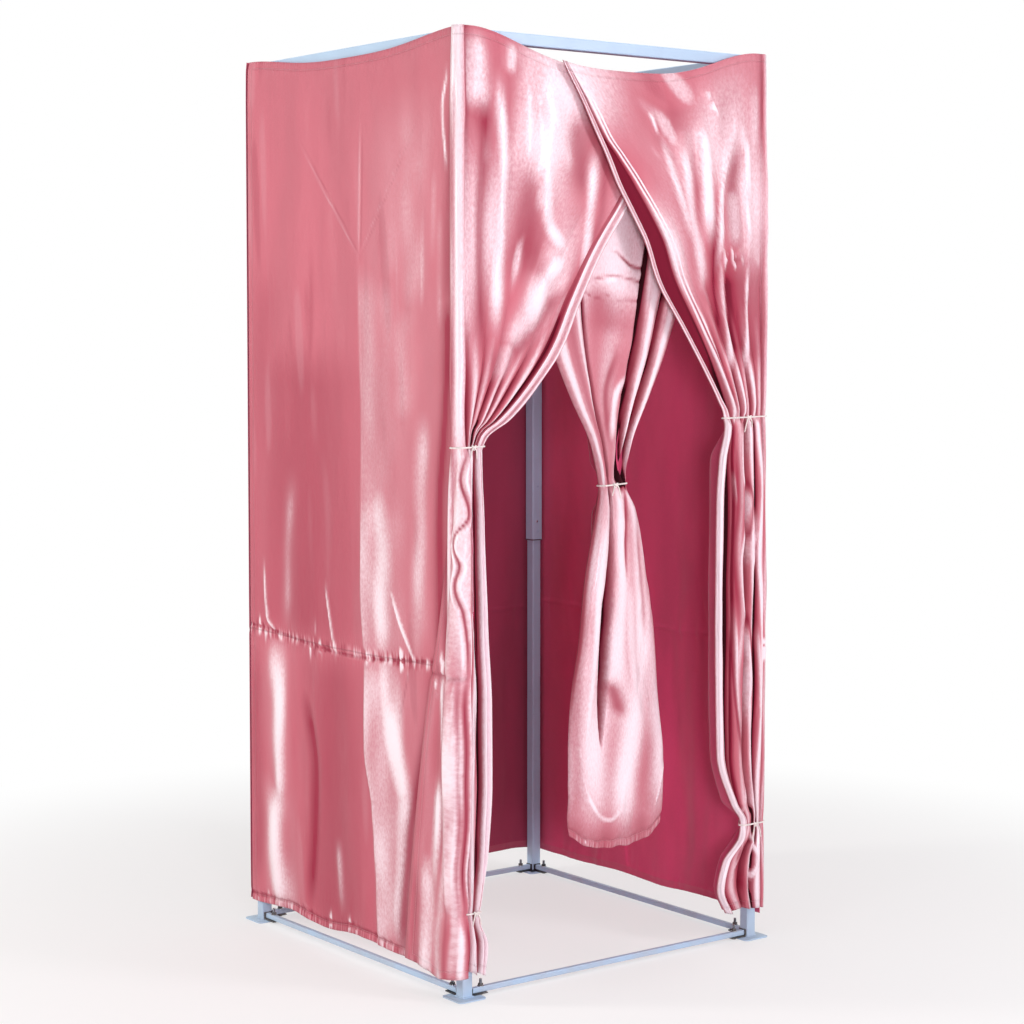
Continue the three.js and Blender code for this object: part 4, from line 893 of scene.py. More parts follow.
def curtain(settings, way, line, ties, layer, seed, high, low, bundle_folds, folds, corner_folds, band):
    """A front curtain from its lead edge round its post's outer corner, gathered at its ties. layer is how
    far it hangs in front of the other one, high and low are the edges and sizes of its rolls above and
    below the upper tie, and band is the width of its lead edge's hem, above and below"""
    high_edges, high_sizes = (np.array(row) for row in high)
    low_edges, low_sizes = (np.array(row) for row in low)
    spots = [(TURN_SHARE + (GAP_SHARE - TURN_SHARE) * edge, 0.006, 3) for edge in (*high_edges, *low_edges)]
    spots += [
        (TURN_SHARE - 0.014, 0.012, 6), (BAND_SHARE + 0.42 * (1 - BAND_SHARE), 0.006, 4),
        (GAP_SHARE - 0.018, 0.018, 4), (GAP_SHARE + 0.04, 0.04, 1.5), ((BAND_SHARE + 1) / 2, 0.08, 1.0),
        (TURN_SHARE - 0.04, 0.03, 3),
    ]
    c = spread(0, 1, settings.columns, spots)[None, :]
    heights = [row[0] for row in line]
    tie, low_tie = ties
    nominal = spread(heights[-1], heights[0], settings.rows, [(tie, 0.05, 1.2), (low_tie, 0.06, 1.2)])
    nominal = nominal[::-1, None]
    lead, turned, depth, gap = (glide(heights, [row[k] for row in line], nominal) for k in (1, 2, 3, 4))
    up = nominal + 0 * c
    band = band[1] + (band[0] - band[1]) * smooth(tie - 0.02, tie + 0.06, nominal)
    band = np.minimum(band, 0.44 * (lead + GROOVE))
    v = np.clip((c - TURN_SHARE) / (GAP_SHARE - TURN_SHARE), 0, 1)
    g = np.clip((c - GAP_SHARE) / (BAND_SHARE - GAP_SHARE), 0, 1)
    b = np.clip((c - BAND_SHARE) / (1 - BAND_SHARE), 0, 1)
    w = np.clip(1 - c / TURN_SHARE, 0, 1)
    body_width = lead - band - gap + GROOVE
    reach = -GROOVE - w * turned + v * body_width + g * gap + b * band
    tight = smooth(tie + 0.34, tie + 0.03, nominal)
    below = smooth(tie + 0.012, tie - 0.020, up)
    cloth = c * CURTAIN_WIDTH
    v_rows = v + 0 * nominal
    power = 1.1 - 0.6 * tight
    upper = rolls(v_rows, up, high_edges, high_sizes, power, seed + 1)
    lower = rolls(v_rows, up, low_edges, low_sizes, power, seed + 2)
    body, sides, crest_highlight = (over * (1 - below) + under * below for over, under in zip(upper[:3], lower[:3]))
    crest_highlight = np.clip(1.25 * crest_highlight, 0, 1)
    on_body = (v > 0.001) & (v < 0.999)
    # Painted shade on the rolls' sides and painted highlights on their crests, near and below the tie
    painted_shade = sides * tight * on_body
    painted_highlight = 0.95 * crest_highlight * tight * on_body
    in_band = smooth(0.0, 0.10, b)
    in_gap = smooth(0.0, 0.15, g) * (1 - in_band)
    out_of_edge = (1 - in_band) * (1 - in_gap)
    hemmed = 0.72 + 0.12 * np.cos(2 * np.pi * 3 * b)
    one_roll = np.clip(np.sin(np.pi * np.clip(b, 0.02, 0.98)), 0, 1) ** 0.6
    rise = np.minimum(depth + 0.003, 0.022) if not layer else np.minimum(depth + 0.003, 0.007 + 0.015 * below)
    banded = rise * (hemmed * (1 - below) * smooth(1.06, 0.90, b) + (0.25 + 0.75 * one_roll) * below)
    w_rows = (1 - w) + 0 * nominal
    turned_rolls = rolls(w_rows, up, np.array([0, 0.45, 1.0]), [0.35, 1.0], 0.9, seed + 50)
    side = np.minimum(depth, 0.010) * turned_rolls[0] * smooth(0, 0.2, w)
    front = np.clip(c / TURN_SHARE - 0.6, 0, 1)
    x_front = way * (HALF_X - reach)
    fold_deep, fold_shine = folded(x_front, up, folds, seed + 60)
    bundle_deep, bundle_shine = folded(reach, up, bundle_folds, seed + 64)
    bundled = below * (1 - in_band) * (1 - in_gap)
    bundle_deep, bundle_shine = bundle_deep * bundled, bundle_shine * bundled
    above = smooth(tie + 0.06, tie + 0.16, up) * (w <= 0) * (1 - in_band) * (1 - in_gap)
    fold_deep, fold_shine = fold_deep * above, fold_shine * above
    toward = HALF_Y - np.maximum(-reach - CORNER_START - CORNER_RADIUS * np.pi / 2, 0)
    round_deep, round_shine = folded(toward, up, corner_folds, seed + 62)
    on_side = smooth(0.02, 0.10, w)
    round_deep, round_shine = round_deep * on_side, round_shine * on_side
    stages = [low_tie, tie, tie + 0.14, tie + 0.42, 1.93, 2.0]
    broad_high = glide(stages, [0, 0, 0.003, 0.0060, 0.0050, 0.0008], up)
    small_high = glide([low_tie, tie, tie + 0.2, 1.9, 2.0], [0.0006, 0.0005, 0.0012, 0.0012, 0.0005], up)
    fold_high = glide(stages, [0, 0, 0.004, 0.008, 0.006, 0.001], up)
    broad = 0.5 + 0.33 * waves(seed + 3, cloth, up, 0.15, 2.2, 10)
    patches = smooth(-0.6, 0.8, waves(seed + 6, cloth, up, 0.3, 1.2))
    small = waves(seed + 5, cloth, up, 0.050, 2.6) * patches
    pressed = 1 if layer else 1 - 0.6 * smooth(0.42, 0.6, c) * smooth(1.47, 1.56, up)
    relief = np.clip(broad, 0, 1.2) * broad_high + fold_high * (0.5 + fold_shine - 0.5 * fold_deep)
    out = body * depth * smooth(0, 0.03, v + w) * out_of_edge * smooth(0.5, 0.0, w)
    out = out * (tight + (1 - tight) * 0.25)
    out = out + 0.003 * (bundle_shine - bundle_deep)
    out = out + banded * in_band + side + relief * pressed * out_of_edge * front
    out = out + 0.006 * (round_shine - round_deep)
    cinch = sum(ridge(nominal, z, 0.014) for z in ties)
    out = out * (1 - 0.22 * cinch) + small * small_high * (1 - 0.5 * in_gap)
    groove_below = 0.35 if layer else 0
    groove = ridge(c, TURN_SHARE, 0.010)
    groove = groove * (groove_below + (1 - groove_below) * smooth(tie - 0.05, tie + 0.05, nominal))
    out = 0.0012 * np.logaddexp(0, (out + 0.0016 - 0.003 * groove) / 0.0012)
    ahead = layer * smooth(1.46, 1.60, up) * smooth(0.25, 0.55, c)
    held = 1 - 0.8 * np.clip(cinch, 0, 1)
    seam_line = gather(toward, up, CURTAIN_SEAM, seed + 70) * on_side
    out = out + seam_line
    sway = waves(seed + 4, c, up, 0.6, 0.35, 8) * 0.0018 * tight * np.sin(np.pi * c) * held
    x, y = round_corner(way, reach + sway, out + ahead, POST_FACE + settings.face_gap + settings.thickness)
    low_slits = slits(v_rows, low_edges, 0.0046 / (lead + GROOVE))
    high_slits = slits(v_rows, high_edges, 0.0022 / (lead + GROOVE))
    slit = low_slits * below + high_slits * (1 - below)
    slit = slit + (0.66 if layer else 0.9) * ridge(g, 0.5, 0.3) * (b < 0.01) * (v > 0.99)
    split = ridge(b, 0.42, 0.07) * below
    slit = slit + split * (not layer)
    inward = glide([heights[-1], low_tie - 0.03, low_tie, low_tie + 0.05,
                    tie - 0.10, tie, tie + 0.03, tie + 0.14],
                   [0.040 if layer else 0.006, 0.036, 0.012, 0.072, 0.084, 0.012, 0.036, 0.0], up)
    slit = slit + smooth(0.93, 1.0, b) * below * (not layer)
    beside = smooth(POST_FACE + 0.003, POST_FACE + 0.008, reach)
    y = y + slit * beside * inward
    hem = waves(seed + 8, c, up * 0, 0.4, 1, 8) * 0.005 - 0.020 * ridge(w, 0.35, 0.4) * (w > 0)
    lowest = smooth(0.22, 0.0, up - heights[-1])
    hem = hem * lowest * (1 if not layer else 0.4)
    z = up - hem_sag(x / HALF_X, settings.front_sag) * smooth(1.5, 2.0, up) + hem
    # Painted shade: dark red to nearly black in the gap behind the lead edge and in the slits, and along the
    # groove at the corner
    gap_sides = smooth(0.42, 0.12, g) + smooth(0.85, 0.95, g)
    gap_deep = (0.90 + 0.10 * gap_sides * (0.35 + 0.65 * tight)) * in_gap * smooth(0.003, 0.008, gap)
    slit_deep = np.clip(1.8 * slit, 0, 1) * tight * (b < 0.01)
    painted_shade = np.maximum.reduce([0.85 * painted_shade, slit_deep, gap_deep, 0.85 * groove, fold_deep, round_deep])
    # Painted highlights and painted shade in lines along the lead edge's band
    band_lines = ridge(b, 0.22, 0.07) + ridge(b, 0.80, 0.08) + 0.40
    band_round = smooth(0.02, 0.14, b) * smooth(1.0, 0.88, b)
    band_shine = band_lines * (1 - below) + band_round * (1 - 0.7 * split) * below
    band_deep = 0.7 * split + 0.45 * ridge(b, 0.5, 0.14) * (1 - below)
    band_sides = (smooth(0.14, 0.06, b) + smooth(0.91, 0.97, b)) * (1 - below)
    band_deep = np.clip(band_deep + band_sides, 0, 1)
    band_shine = band_shine * (1 - band_sides)
    painted_shade = painted_shade * (1 - in_band) + band_deep * in_band
    painted_highlight = painted_highlight * (1 - in_gap) * (1 - in_band) + 0.9 * np.clip(band_shine, 0, 1) * in_band
    # Painted highlights on the part round the corner: a line near the post's corner, the crests of its turned
    # rolls and broad pale bands
    corner_highlight = 0.80 * ridge(reach, -0.024, 0.009) * smooth(1.0, 1.2, up)
    turned_shine = 0.45 * turned_rolls[2] * on_side * tight
    turned_highlight_level = 0.42 + 0.16 * waves(seed + 66, reach, up, 0.03, 6, 8)
    lower_side = smooth(-0.037, -0.030, reach) * smooth(0.70, 0.66, up)
    upper_side = smooth(0.66, 0.70, up) * smooth(1.0, 0.9, w)
    upper_side = upper_side * (1 + 0.9 * smooth(-0.036, -0.038, reach)) * smooth(-0.053, -0.045, reach)
    turned_highlight = turned_highlight_level * np.clip(lower_side + upper_side, 0, 2) * below * on_side * (not layer)
    # Painted shade in thin lines, down the part round the corner and above the tie
    crease_shade = ridge(reach, -0.0345, 0.0018) * smooth(0.70, 0.76, up)
    crease_shade = crease_shade + 0.5 * ridge(reach, -0.040, 0.006) * smooth(0.66, 0.62, up)
    painted_shade = np.maximum(painted_shade, 0.7 * crease_shade * below * (not layer))
    turned_highlight = turned_highlight * (1 - crease_shade)
    painted_shade = np.maximum(painted_shade, 0.7 * ridge(reach, -0.036, 0.0022) * smooth(1.16, 1.22, up) * (not layer))
    painted_highlight = painted_highlight * (1 - 0.8 * fold_deep)
    painted_highlight = np.maximum.reduce([painted_highlight, fold_shine, round_shine, corner_highlight, turned_shine, turned_highlight])
    painted_highlight = np.maximum(painted_highlight, bundle_shine) * (1 - bundle_deep)
    painted_shade = np.maximum(painted_shade * (1 - bundle_shine), bundle_deep)
    # Painted highlights and painted shade in lines along the hem beside the shaded gap
    edge = (1 - v) * body_width / (0.020 if layer else 0.012)
    hem_shown = smooth(2.0, 1.9, up) if layer else smooth(0.008, 0.016, gap)
    hemmed_edge = smooth(1.0, 0.9, edge) * hem_shown * (v < 1) * (1 - below)
    edge_shine = ridge(edge, 0.24, 0.14) + ridge(edge, 0.74, 0.12)
    edge_deep = ridge(edge, 0.50, 0.09) + ridge(edge, 1.0, 0.08)
    painted_highlight = painted_highlight * (1 - hemmed_edge) + 0.95 * edge_shine * hemmed_edge
    painted_shade = painted_shade * (1 - hemmed_edge) + edge_deep * hemmed_edge
    # Painted highlights on the seam's puckers and painted shade in their hollows
    painted_highlight = np.maximum(painted_highlight, smooth(0.0003, 0.0014, seam_line))
    painted_shade = np.maximum(painted_shade, 0.8 * smooth(-0.0005, -0.0016, seam_line))
    # A broad painted highlight over the upper cloth, uneven and in blotches, with blotches of painted shade
    highlight_and_shade_blotches = waves(seed + 7, cloth, up, 0.07, 3) * patches
    top = smooth(tie + 0.1, tie + 0.4, up) * out_of_edge
    highlight_level = (0.24 if layer else 0.32) + 0.26 * waves(seed + 9, cloth, up, 0.24, 1.5, 8)
    highlight_level = np.clip(highlight_level, 0, 0.7) * (1 - 0.85 * fold_deep) * top
    painted_highlight = np.maximum.reduce([painted_highlight, highlight_level, 0.45 * smooth(0.3, 1.7, highlight_and_shade_blotches) * top])
    painted_shade = np.maximum(painted_shade, 0.36 * smooth(-0.3, -1.7, highlight_and_shade_blotches) * top)
    points = np.stack([MIDDLE.x + x, MIDDLE.y + y, z], -1)
    cut = np.stack([cloth + 0 * nominal, up - heights[-1]], -1)
    if way > 0:
        points, cut, painted_shade, painted_highlight = points[:, ::-1], cut[:, ::-1], painted_shade[:, ::-1], painted_highlight[:, ::-1]
    return points, cut, (painted_shade * (1 - 0.85 * np.clip(painted_highlight, 0, 1)), painted_highlight)


BACK_SHARE = 0.08
SLIT_SHARE = 0.28
FLAP_TOP = 0.76
FLAP_HEM = 0.45
FLAP_LENGTH = 1.729


def inner_curtain(settings, seed):
    """The middle flap: a V of rolled bands down to its tie, then one rounded pouch with a slit"""
    tie, top, floor = INNER_TIE, INNER_LINE[0][0], INNER_LINE[-1][0]
    bands = np.array([0, 0.29, 0.71, 0.855, 1.0])
    spots = [(BACK_SHARE + (1 - 2 * BACK_SHARE) * edge, 0.006, 4) for edge in (*bands, SLIT_SHARE)]
    spots += [(BACK_SHARE, 0.02, 2), (1 - BACK_SHARE, 0.02, 2)]
    c = spread(0, 1, settings.columns, spots)[None, :]
    nominal = spread(floor, top, settings.rows, [(tie, 0.06, 1.2), (floor, 0.05, 1)])[::-1, None]
    heights = [row[0] for row in INNER_LINE]
    centre, half, depth = (glide(heights, [row[k] for row in INNER_LINE], nominal) for k in (1, 2, 3))
    up = nominal + 0 * c
    place = np.clip((c - BACK_SHARE) / (1 - 2 * BACK_SHARE), 0, 1) + 0 * nominal
    wide = FLAP_HEM + (FLAP_TOP - FLAP_HEM) * (nominal - floor) / (top - floor)
    cloth = FLAP_TOP / 2 + (c - 0.5) * wide
    near = smooth(tie + 0.30, tie + 0.02, nominal)
    below = smooth(tie + 0.015, tie - 0.025, up)
    upper, upper_sides, upper_bright, index, t = rolls(place, up, bands, [1.0, 0.35, 0.9, 1.0], 0.55, seed)
    is_band = index != 1
    upper = upper * np.where(is_band, smooth(1.75, 1.50, up), near ** 1.5)
    merge = smooth(0.62, 0.44, up)
    left_t = np.clip(2 * place / SLIT_SHARE - 1, -1, 1)
    right_t = np.clip(2 * (place - SLIT_SHARE) / (1 - SLIT_SHARE) - 1, -1, 1)
    left_half, right_half = (1 - np.abs(left_t) ** 2.4) ** 0.5, (1 - np.abs(right_t) ** 2.8) ** 0.5
    parted = np.where(place < SLIT_SHARE, left_half, right_half)
    whole = (1 - np.abs(2 * place - 1) ** 2.8) ** 0.5
    lower = parted * (1 - merge) + whole * merge
    shape = upper * (1 - below) + lower * below
    broad = waves(seed + 3, cloth, up, 0.16, 1.6, 10)
    broad_high = glide([floor, 0.7, tie - 0.1, tie, tie + 0.25, 1.9, top],
                       [0.002, 0.002, 0.0010, 0, 0.0015, 0.002, 0.0005], up)
    small = waves(seed + 5, cloth, up, 0.045, 1.2) * smooth(-0.5, 0.9, waves(seed + 6, cloth, up, 0.25, 1.2))
    x_flat = centre + half * (2 * place - 1)
    fold_deep, fold_shine = folded(x_flat, up, INNER_FOLDS, seed + 60)
    across_deep, across_shine = folded(up, x_flat, ACROSS_FOLDS, seed + 62)
    seen = (c > BACK_SHARE) & (c < 1 - BACK_SHARE)
    middle = np.where(is_band & (up > tie), 0, 1)
    fold_deep = np.maximum(fold_deep, across_deep) * seen * middle
    fold_shine = np.maximum(fold_shine, across_shine) * seen * middle
    out = shape * depth + broad * broad_high + small * 0.0007
    out = out + (0.0035 * fold_shine - 0.0035 * fold_deep) * smooth(1.95, 1.85, up)
    visible = smooth(1.70, 1.50, up) * (1 - below)
    slit = slits(place, bands, 0.0026 / half) * visible
    opening = glide([0.48, 0.62, 0.74, 0.90, 1.0], [0.0020, 0.0070, 0.0080, 0.0050, 0.0030], up)
    slit_low = np.exp(-((np.abs(place - SLIT_SHARE) * 2 * half / (1.5 * opening)) ** 2.6))
    slit_low = slit_low * smooth(0.47, 0.54, up) * below
    inward = glide([floor, 0.5, tie - 0.07, tie, tie + 0.05, tie + 0.45],
                   [0.0, 0.050, 0.050, 0.004, 0.045, 0.012], up)
    swing = glide([floor, tie, 1.2, 1.48, 1.8, top], [0.034, 0.032, 0.030, 0.022, 0.010, 0.0], up)
    back = np.clip(np.maximum(BACK_SHARE - c, c - (1 - BACK_SHARE)) / BACK_SHARE, 0, 1)
    turn = smooth(0, 0.35, back)
    curled = smooth(1.70, 1.30, nominal) * (1 - 0.9 * ridge(nominal, tie, 0.05))
    sway = waves(seed + 4, c, up, 0.6, 0.4, 8) * 0.002 * near
    reach = x_flat + sway - np.sign(c - 0.5) * (0.0040 + 0.034 * curled) * back * np.minimum(1, half / 0.08)
    y = -(HALF_Y + POST_FACE + settings.face_gap - 0.0016 - swing) - out + 0.018 * smooth(1.9, 1.2, up)
    y = y + (slit + slit_low) * inward + turn * (0.0025 + 0.0085 * curled)
    hem = 0.036 * np.abs(2 * place - 1) ** 3.2 * smooth(0.5, 0.0, (nominal - floor) / (top - floor))
    gathers = gather(c * 1.2, up - floor, settings.hem, seed + 10, 0.010, 0.014, 0.0010)
    out_hem = gathers * smooth(floor + 0.12, floor + 0.02, up)
    y = y - out_hem
    ruffle = 0.0015 * waves(seed + 12, cloth, up * 0, 0.06, 1) * smooth(0.5, floor, up)
    z = up - hem_sag(reach / HALF_X, settings.front_sag) * smooth(1.5, 2.0, up) + hem + ruffle
    # Painted shade and painted highlights on the V's bands and on the fans near the tie
    first_deep = smooth(0.80, 0.98, t) + 0.5 * ridge(t, 0.15, 0.30)
    first_shine = ridge(t, -0.55, 0.26) + 0.9 * ridge(t, 0.62, 0.14)
    band_deep = np.where(index == 0, first_deep, smooth(0.55, 0.95, np.abs(t))) * is_band
    band_shine = np.where(index == 0, first_shine, ridge(t, 0, 0.42)) * is_band
    fans = near ** 2 * (1 - below) * np.where(is_band, 0, 1)
    band_deep = np.clip(band_deep, 0, 1) * visible
    # Painted shade in the slits, on the bands and folds, where the parted pouch dips and in the hem's puckers
    painted_shade = np.maximum.reduce([slit, slit_low, band_deep, upper_sides * fans * 0.8, fold_deep])
    painted_shade = np.maximum(painted_shade, 0.75 * smooth(0.60, 0.25, lower) * below * (1 - merge))
    painted_shade = np.maximum(painted_shade, 0.5 * smooth(-0.0004, -0.0016, out_hem))
    # Painted highlights on the bands, fans and folds, and on the hem's puckers
    band_shine = np.clip(band_shine, 0, 1) * visible * 0.9
    painted_highlight = np.maximum.reduce([band_shine, upper_bright * fans * 0.6, fold_shine])
    painted_highlight = np.maximum(painted_highlight, smooth(0.0003, 0.0014, out_hem))
    # A painted highlight over the whole flap, less of it low down and in the V just above the tie, none on
    # the edges turned back
    pale = 0.56 + 0.16 * waves(seed + 8, cloth, up, 0.13, 1.6) + 0.14 * smooth(1.44, 1.54, up)
    pale = pale * (0.55 + 0.45 * smooth(0.28, 0.40, up)) * (1 - 0.5 * smooth(1.48, 1.40, up) * (1 - below))
    painted_highlight = np.maximum(painted_highlight, pale * (1 - painted_shade))
    painted_highlight = painted_highlight * (1 - turn)
    cut = np.stack([cloth, up - floor], -1)
    # Painted shade, nearly black, in the slits, with no painted highlight there
    cleft = np.clip(2.2 * np.maximum(slit_low, slit), 0, 1)
    painted_highlight = painted_highlight * (1 - cleft)
    shades = (np.maximum(0.86 * painted_shade * (1 - 0.85 * np.clip(painted_highlight, 0, 1)), cleft), painted_highlight)
    return np.stack([MIDDLE.x + reach, MIDDLE.y + y, z], -1), cut, shades


def hung_curtains(settings):
    """The curtains and the flap: name, (points, cut, shades) and flat size"""
    left_rolls = ([0, 0.22, 0.42, 0.60, 0.80, 1.0], [0.7, 0.5, 0.8, 0.6, 0.9]), ([-0.6, 1.0], [1.0])
    right_rolls = (([0, 0.20, 0.38, 0.55, 0.70, 0.86, 1.0], [0.6, 0.8, 0.5, 0.9, 0.6, 0.9]),
                   ([0, 0.30, 0.56, 1.0], [0.9, 0.7, 0.5]))
    left = curtain(settings, -1, LEFT_LINE, LEFT_TIES, 0, 71, *left_rolls,
                   LEFT_BUNDLE_FOLDS, FRONT_LEFT_FOLDS, CORNER_FOLDS, (0.034, 0.027))
    right = curtain(settings, 1, RIGHT_LINE, RIGHT_TIES, 0.0145, 85, *right_rolls,
                    RIGHT_BUNDLE_FOLDS, FRONT_RIGHT_FOLDS, CORNER_FOLDS[:2], (0.014, 0.020))
    return [("left", left, (CURTAIN_WIDTH, 1.94)), ("right", right, (CURTAIN_WIDTH, 1.925)),
            ("inner", inner_curtain(settings, 97), (FLAP_TOP, FLAP_LENGTH))]


def finish_sheet(piece, node, flat, held, rests_on, **area):
    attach(piece, UPPER)
    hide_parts(node)


def two_sides(name, size, settings, colours, seam=None, crush=1.0, painted_light=1.0):
    return (satin_finish(name + " satin", size, settings.hem, colours, seam, crush),
            inside_finish(name + " inside", size, settings.hem, colours, painted_light))


class FITTING_OT_walls(bpy.types.Operator):
    """Hang the left, right and rear walls on the posts"""

    bl_idname = "fitting.walls"
    bl_label = "Walls"

    def execute(self, context):
        settings, colours = context.scene.fitting_cloth, context.scene.fitting_colours
        # The last number is the painted light level of each wall's matt side: lighter on the right, in
        # painted shade at the rear
        walls = [
            ("left", (-1, 0), LEFT_FOLDS, LEFT_CREASES, 11, 1.0),
            ("right", (1, 0), PLAIN_FOLDS, PLAIN_CREASES, 31, 1.15),
            ("rear", (0, 1), PLAIN_FOLDS, PLAIN_CREASES, 51, 0.50),
        ]
        seam = settings.seam - settings.hem_height
        for name, side, folds, creases, seed, painted_light in walls:
            points, cut, shades = wall(settings, side, folds, creases, seed)
            flat = (float(cut[..., 0].max()), float(cut[..., 1].max()))
            finishes = two_sides(name + " wall", flat, settings, colours, seam, 0.45, painted_light)
            piece = cloth_piece(name + "_wall_panel", points, cut, shades, finishes, settings.thickness)
            posts = [f"upper_post_{c}" for c in CORNERS if name in c]
            finish_sheet(piece, name + "_wall", flat, "hung", posts)
        return {"FINISHED"}


class FITTING_OT_curtains(bpy.types.Operator):
    """Hang the two front curtains and the middle flap, gathered at their ties"""

    bl_idname = "fitting.curtains"
    bl_label = "Curtains"

    def execute(self, context):
        settings, colours = context.scene.fitting_cloth, context.scene.fitting_colours
        panels = hung_curtains(settings)
        for name, (points, cut, shades), flat in panels:
            finishes = two_sides(name + " curtain", flat, settings, colours)
            piece = cloth_piece(name + "_curtain_panel", points, cut, shades, finishes, settings.thickness)
            tapered = {"area": (FLAP_TOP + FLAP_HEM) / 2 * flat[1]} if name == "inner" else {}
            finish_sheet(piece, name + "_curtain", flat, "gathered", ["top_bar_front"], **tapered)
        return {"FINISHED"}


# Rigid pieces


def primitive(name, add, **settings):
    """A piece made by one of Blender's own mesh operators"""
    bpy.ops.object.select_all(action="DESELECT")
    add(**settings)
    piece = bpy.context.active_object
    piece.name = name
    piece.data.name = name
    return piece


def settle(piece):
    """Move a piece's place, turn and size into its mesh"""
    bpy.ops.object.transform_apply(location=True, rotation=True, scale=True)
    return piece


def new_cube(name, low, high):
    """A cube between two corners, ready to be shaped"""
    low, high = Vector(low), Vector(high)
    piece = primitive(name, bpy.ops.mesh.primitive_cube_add, size=1, location=(low + high) / 2)
    piece.scale = high - low
    return settle(piece)


def new_tube(name, radius, low, high, sides):
    """An upright cylinder on the middle axis"""
    return settle(primitive(name, bpy.ops.mesh.primitive_cylinder_add, vertices=sides, radius=radius,
                            depth=high - low, location=(0, 0, (low + high) / 2)))


def modify(piece, kind, **settings):
    """Apply one modifier to a piece"""
    pick(piece)
    modifier = piece.modifiers.new(kind.lower(), kind)
    for key, value in settings.items():
        setattr(modifier, key, value)
    bpy.ops.object.modifier_apply(modifier=modifier.name)
    return piece


def shade(piece, degrees=35):
    pick(piece)
    bpy.ops.object.shade_smooth_by_angle(angle=math.radians(degrees))
    return piece


def coat(piece, finish):
    """Give a piece one material and no other"""
    piece.data.materials.clear()
    piece.data.materials.append(finish)


def dress(piece, finish, body, slot, *nodes):
    """Give a piece its material and body, and hide the node that it stands in for, if any. slot is not used
    """
    coat(piece, finish)
    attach(piece, body)
    if nodes:
        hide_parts(*nodes)
    return piece


def join(name, pieces):
    pick(*pieces)
    bpy.ops.object.join()
    pieces[0].name = name
    pieces[0].data.name = name
    return pieces[0]


def edit(*steps):
    """Run steps on the active piece in edit mode, each an operator and its settings"""
    bpy.ops.object.mode_set(mode="EDIT")
    for operator, settings in steps:
        operator(**settings)
    bpy.ops.object.mode_set(mode="OBJECT")


def ring_faces(rings, sides, closed=False):
    """The faces between rings of points, each ring and the next one"""
    faces = []
    for i in range(rings if closed else rings - 1):
        j = (i + 1) % rings
        faces += [(i * sides + k, i * sides + (k + 1) % sides, j * sides + (k + 1) % sides, j * sides + k)
                  for k in range(sides)]
    return faces


# Only edges sharper than EDGE_ANGLE are rounded. BEAD is the weld's reach from its post, COLLAR the
# height of a bush's collar and BORE_GAP the play between that and the lower post
EDGE_ANGLE = math.radians(60)
BEAD = 0.0022
COLLAR = 0.0028
BORE_GAP = 0.0003


def rounded_plate(corner):
    """A foot plate with round corners and a weld bead round its post"""
    name = "rounded_foot_plate_" + corner
    low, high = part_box("foot_plate_" + corner)
    plate = new_cube(name, low, high)
    edit((bpy.ops.mesh.select_mode, {"type": "EDGE"}), (bpy.ops.mesh.select_all, {"action": "DESELECT"}))
    for edge in plate.data.edges:
        a, b = (plate.data.vertices[v].co for v in edge.vertices)
        edge.select = abs(a.z - b.z) > 0.001
    edit((bpy.ops.mesh.bevel, {"offset": 0.010, "segments": 8}))
    modify(plate, "BEVEL", width=0.0007, segments=2, limit_method="ANGLE", angle_limit=EDGE_ANGLE)
    post_low, post_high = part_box("lower_post_" + corner)
    grow = Vector((BEAD, BEAD, 0))
    top = Vector((post_high.x, post_high.y, high.z + BEAD))
    bead = new_cube("bead", Vector((post_low.x, post_low.y, high.z - 0.0002)) - grow, top + grow)
    modify(bead, "BEVEL", width=0.0019, segments=4)
    return shade(join(name, [plate, bead]))


def moulded_bush(corner):
    """The collar of a bush, below the upper post and round the lower one"""
    low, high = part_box("post_bush_" + corner)
    inner_low, inner_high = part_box("lower_post_" + corner)
    loose = Vector((BORE_GAP, BORE_GAP, 0))
    bush = new_cube("moulded_bush_" + corner, low, Vector((high.x, high.y, low.z + COLLAR)))
    bore = new_cube("bore", inner_low - loose, inner_high + loose)
    modify(bush, "BEVEL", width=0.0011, segments=4)
    modify(bush, "BOOLEAN", operation="DIFFERENCE", object=bore, solver="EXACT")
    bpy.data.objects.remove(bore)
    return shade(bush)


class FITTING_OT_frame(bpy.types.Operator):
    """Paint the posts and bars, and fit the plates and bushes with rounded edges"""

    bl_idname = "fitting.frame"
    bl_label = "Frame"

    def execute(self, context):
        colours = context.scene.fitting_colours
        paint = paint_finish("pale paint", tuple(colours.paint), linear(120, 124, 130), 0.36)
        black = paint_finish("black paint", tuple(colours.black), linear(110, 108, 106), 0.4)
        steel = steel_finish("bright steel", linear(200, 202, 206), 0.28)
        plastic = plastic_finish("grey plastic", linear(118, 110, 126))
        finishes = {
            "foot_plate": paint, "lower_post": paint, "corner_bracket": black, "foot_bolt_x": black,
            "foot_bolt_y": black, "upper_post": paint, "post_bush": plastic, "corner_joint": paint,
            "snap_button": steel, "floor_bar": paint, "top_bar": paint,
        }
        for name, node in frame["nodes"].items():
            kind = next((key for key in finishes if name.startswith(key)), None)
            if kind:
                coat(node, finishes[kind])
        for corner in CORNERS:
            dress(rounded_plate(corner), paint, LOWER, "pale_paint", "foot_plate_" + corner)
            dress(moulded_bush(corner), plastic, UPPER, "grey_plastic")
        return {"FINISHED"}


BOLT_RADIUS = 0.0028
BOLT_TIP = 0.0022
HEAD_RADIUS = 0.0056
HEAD_HEIGHT = 0.0026
WASHER_RADIUS = 0.0072
NUT_RADIUS = 0.0057
NUT_TOP = 0.0060
THREADS = 22
THREAD_DEPTH = 0.00028
BOLT_SIDES = 18


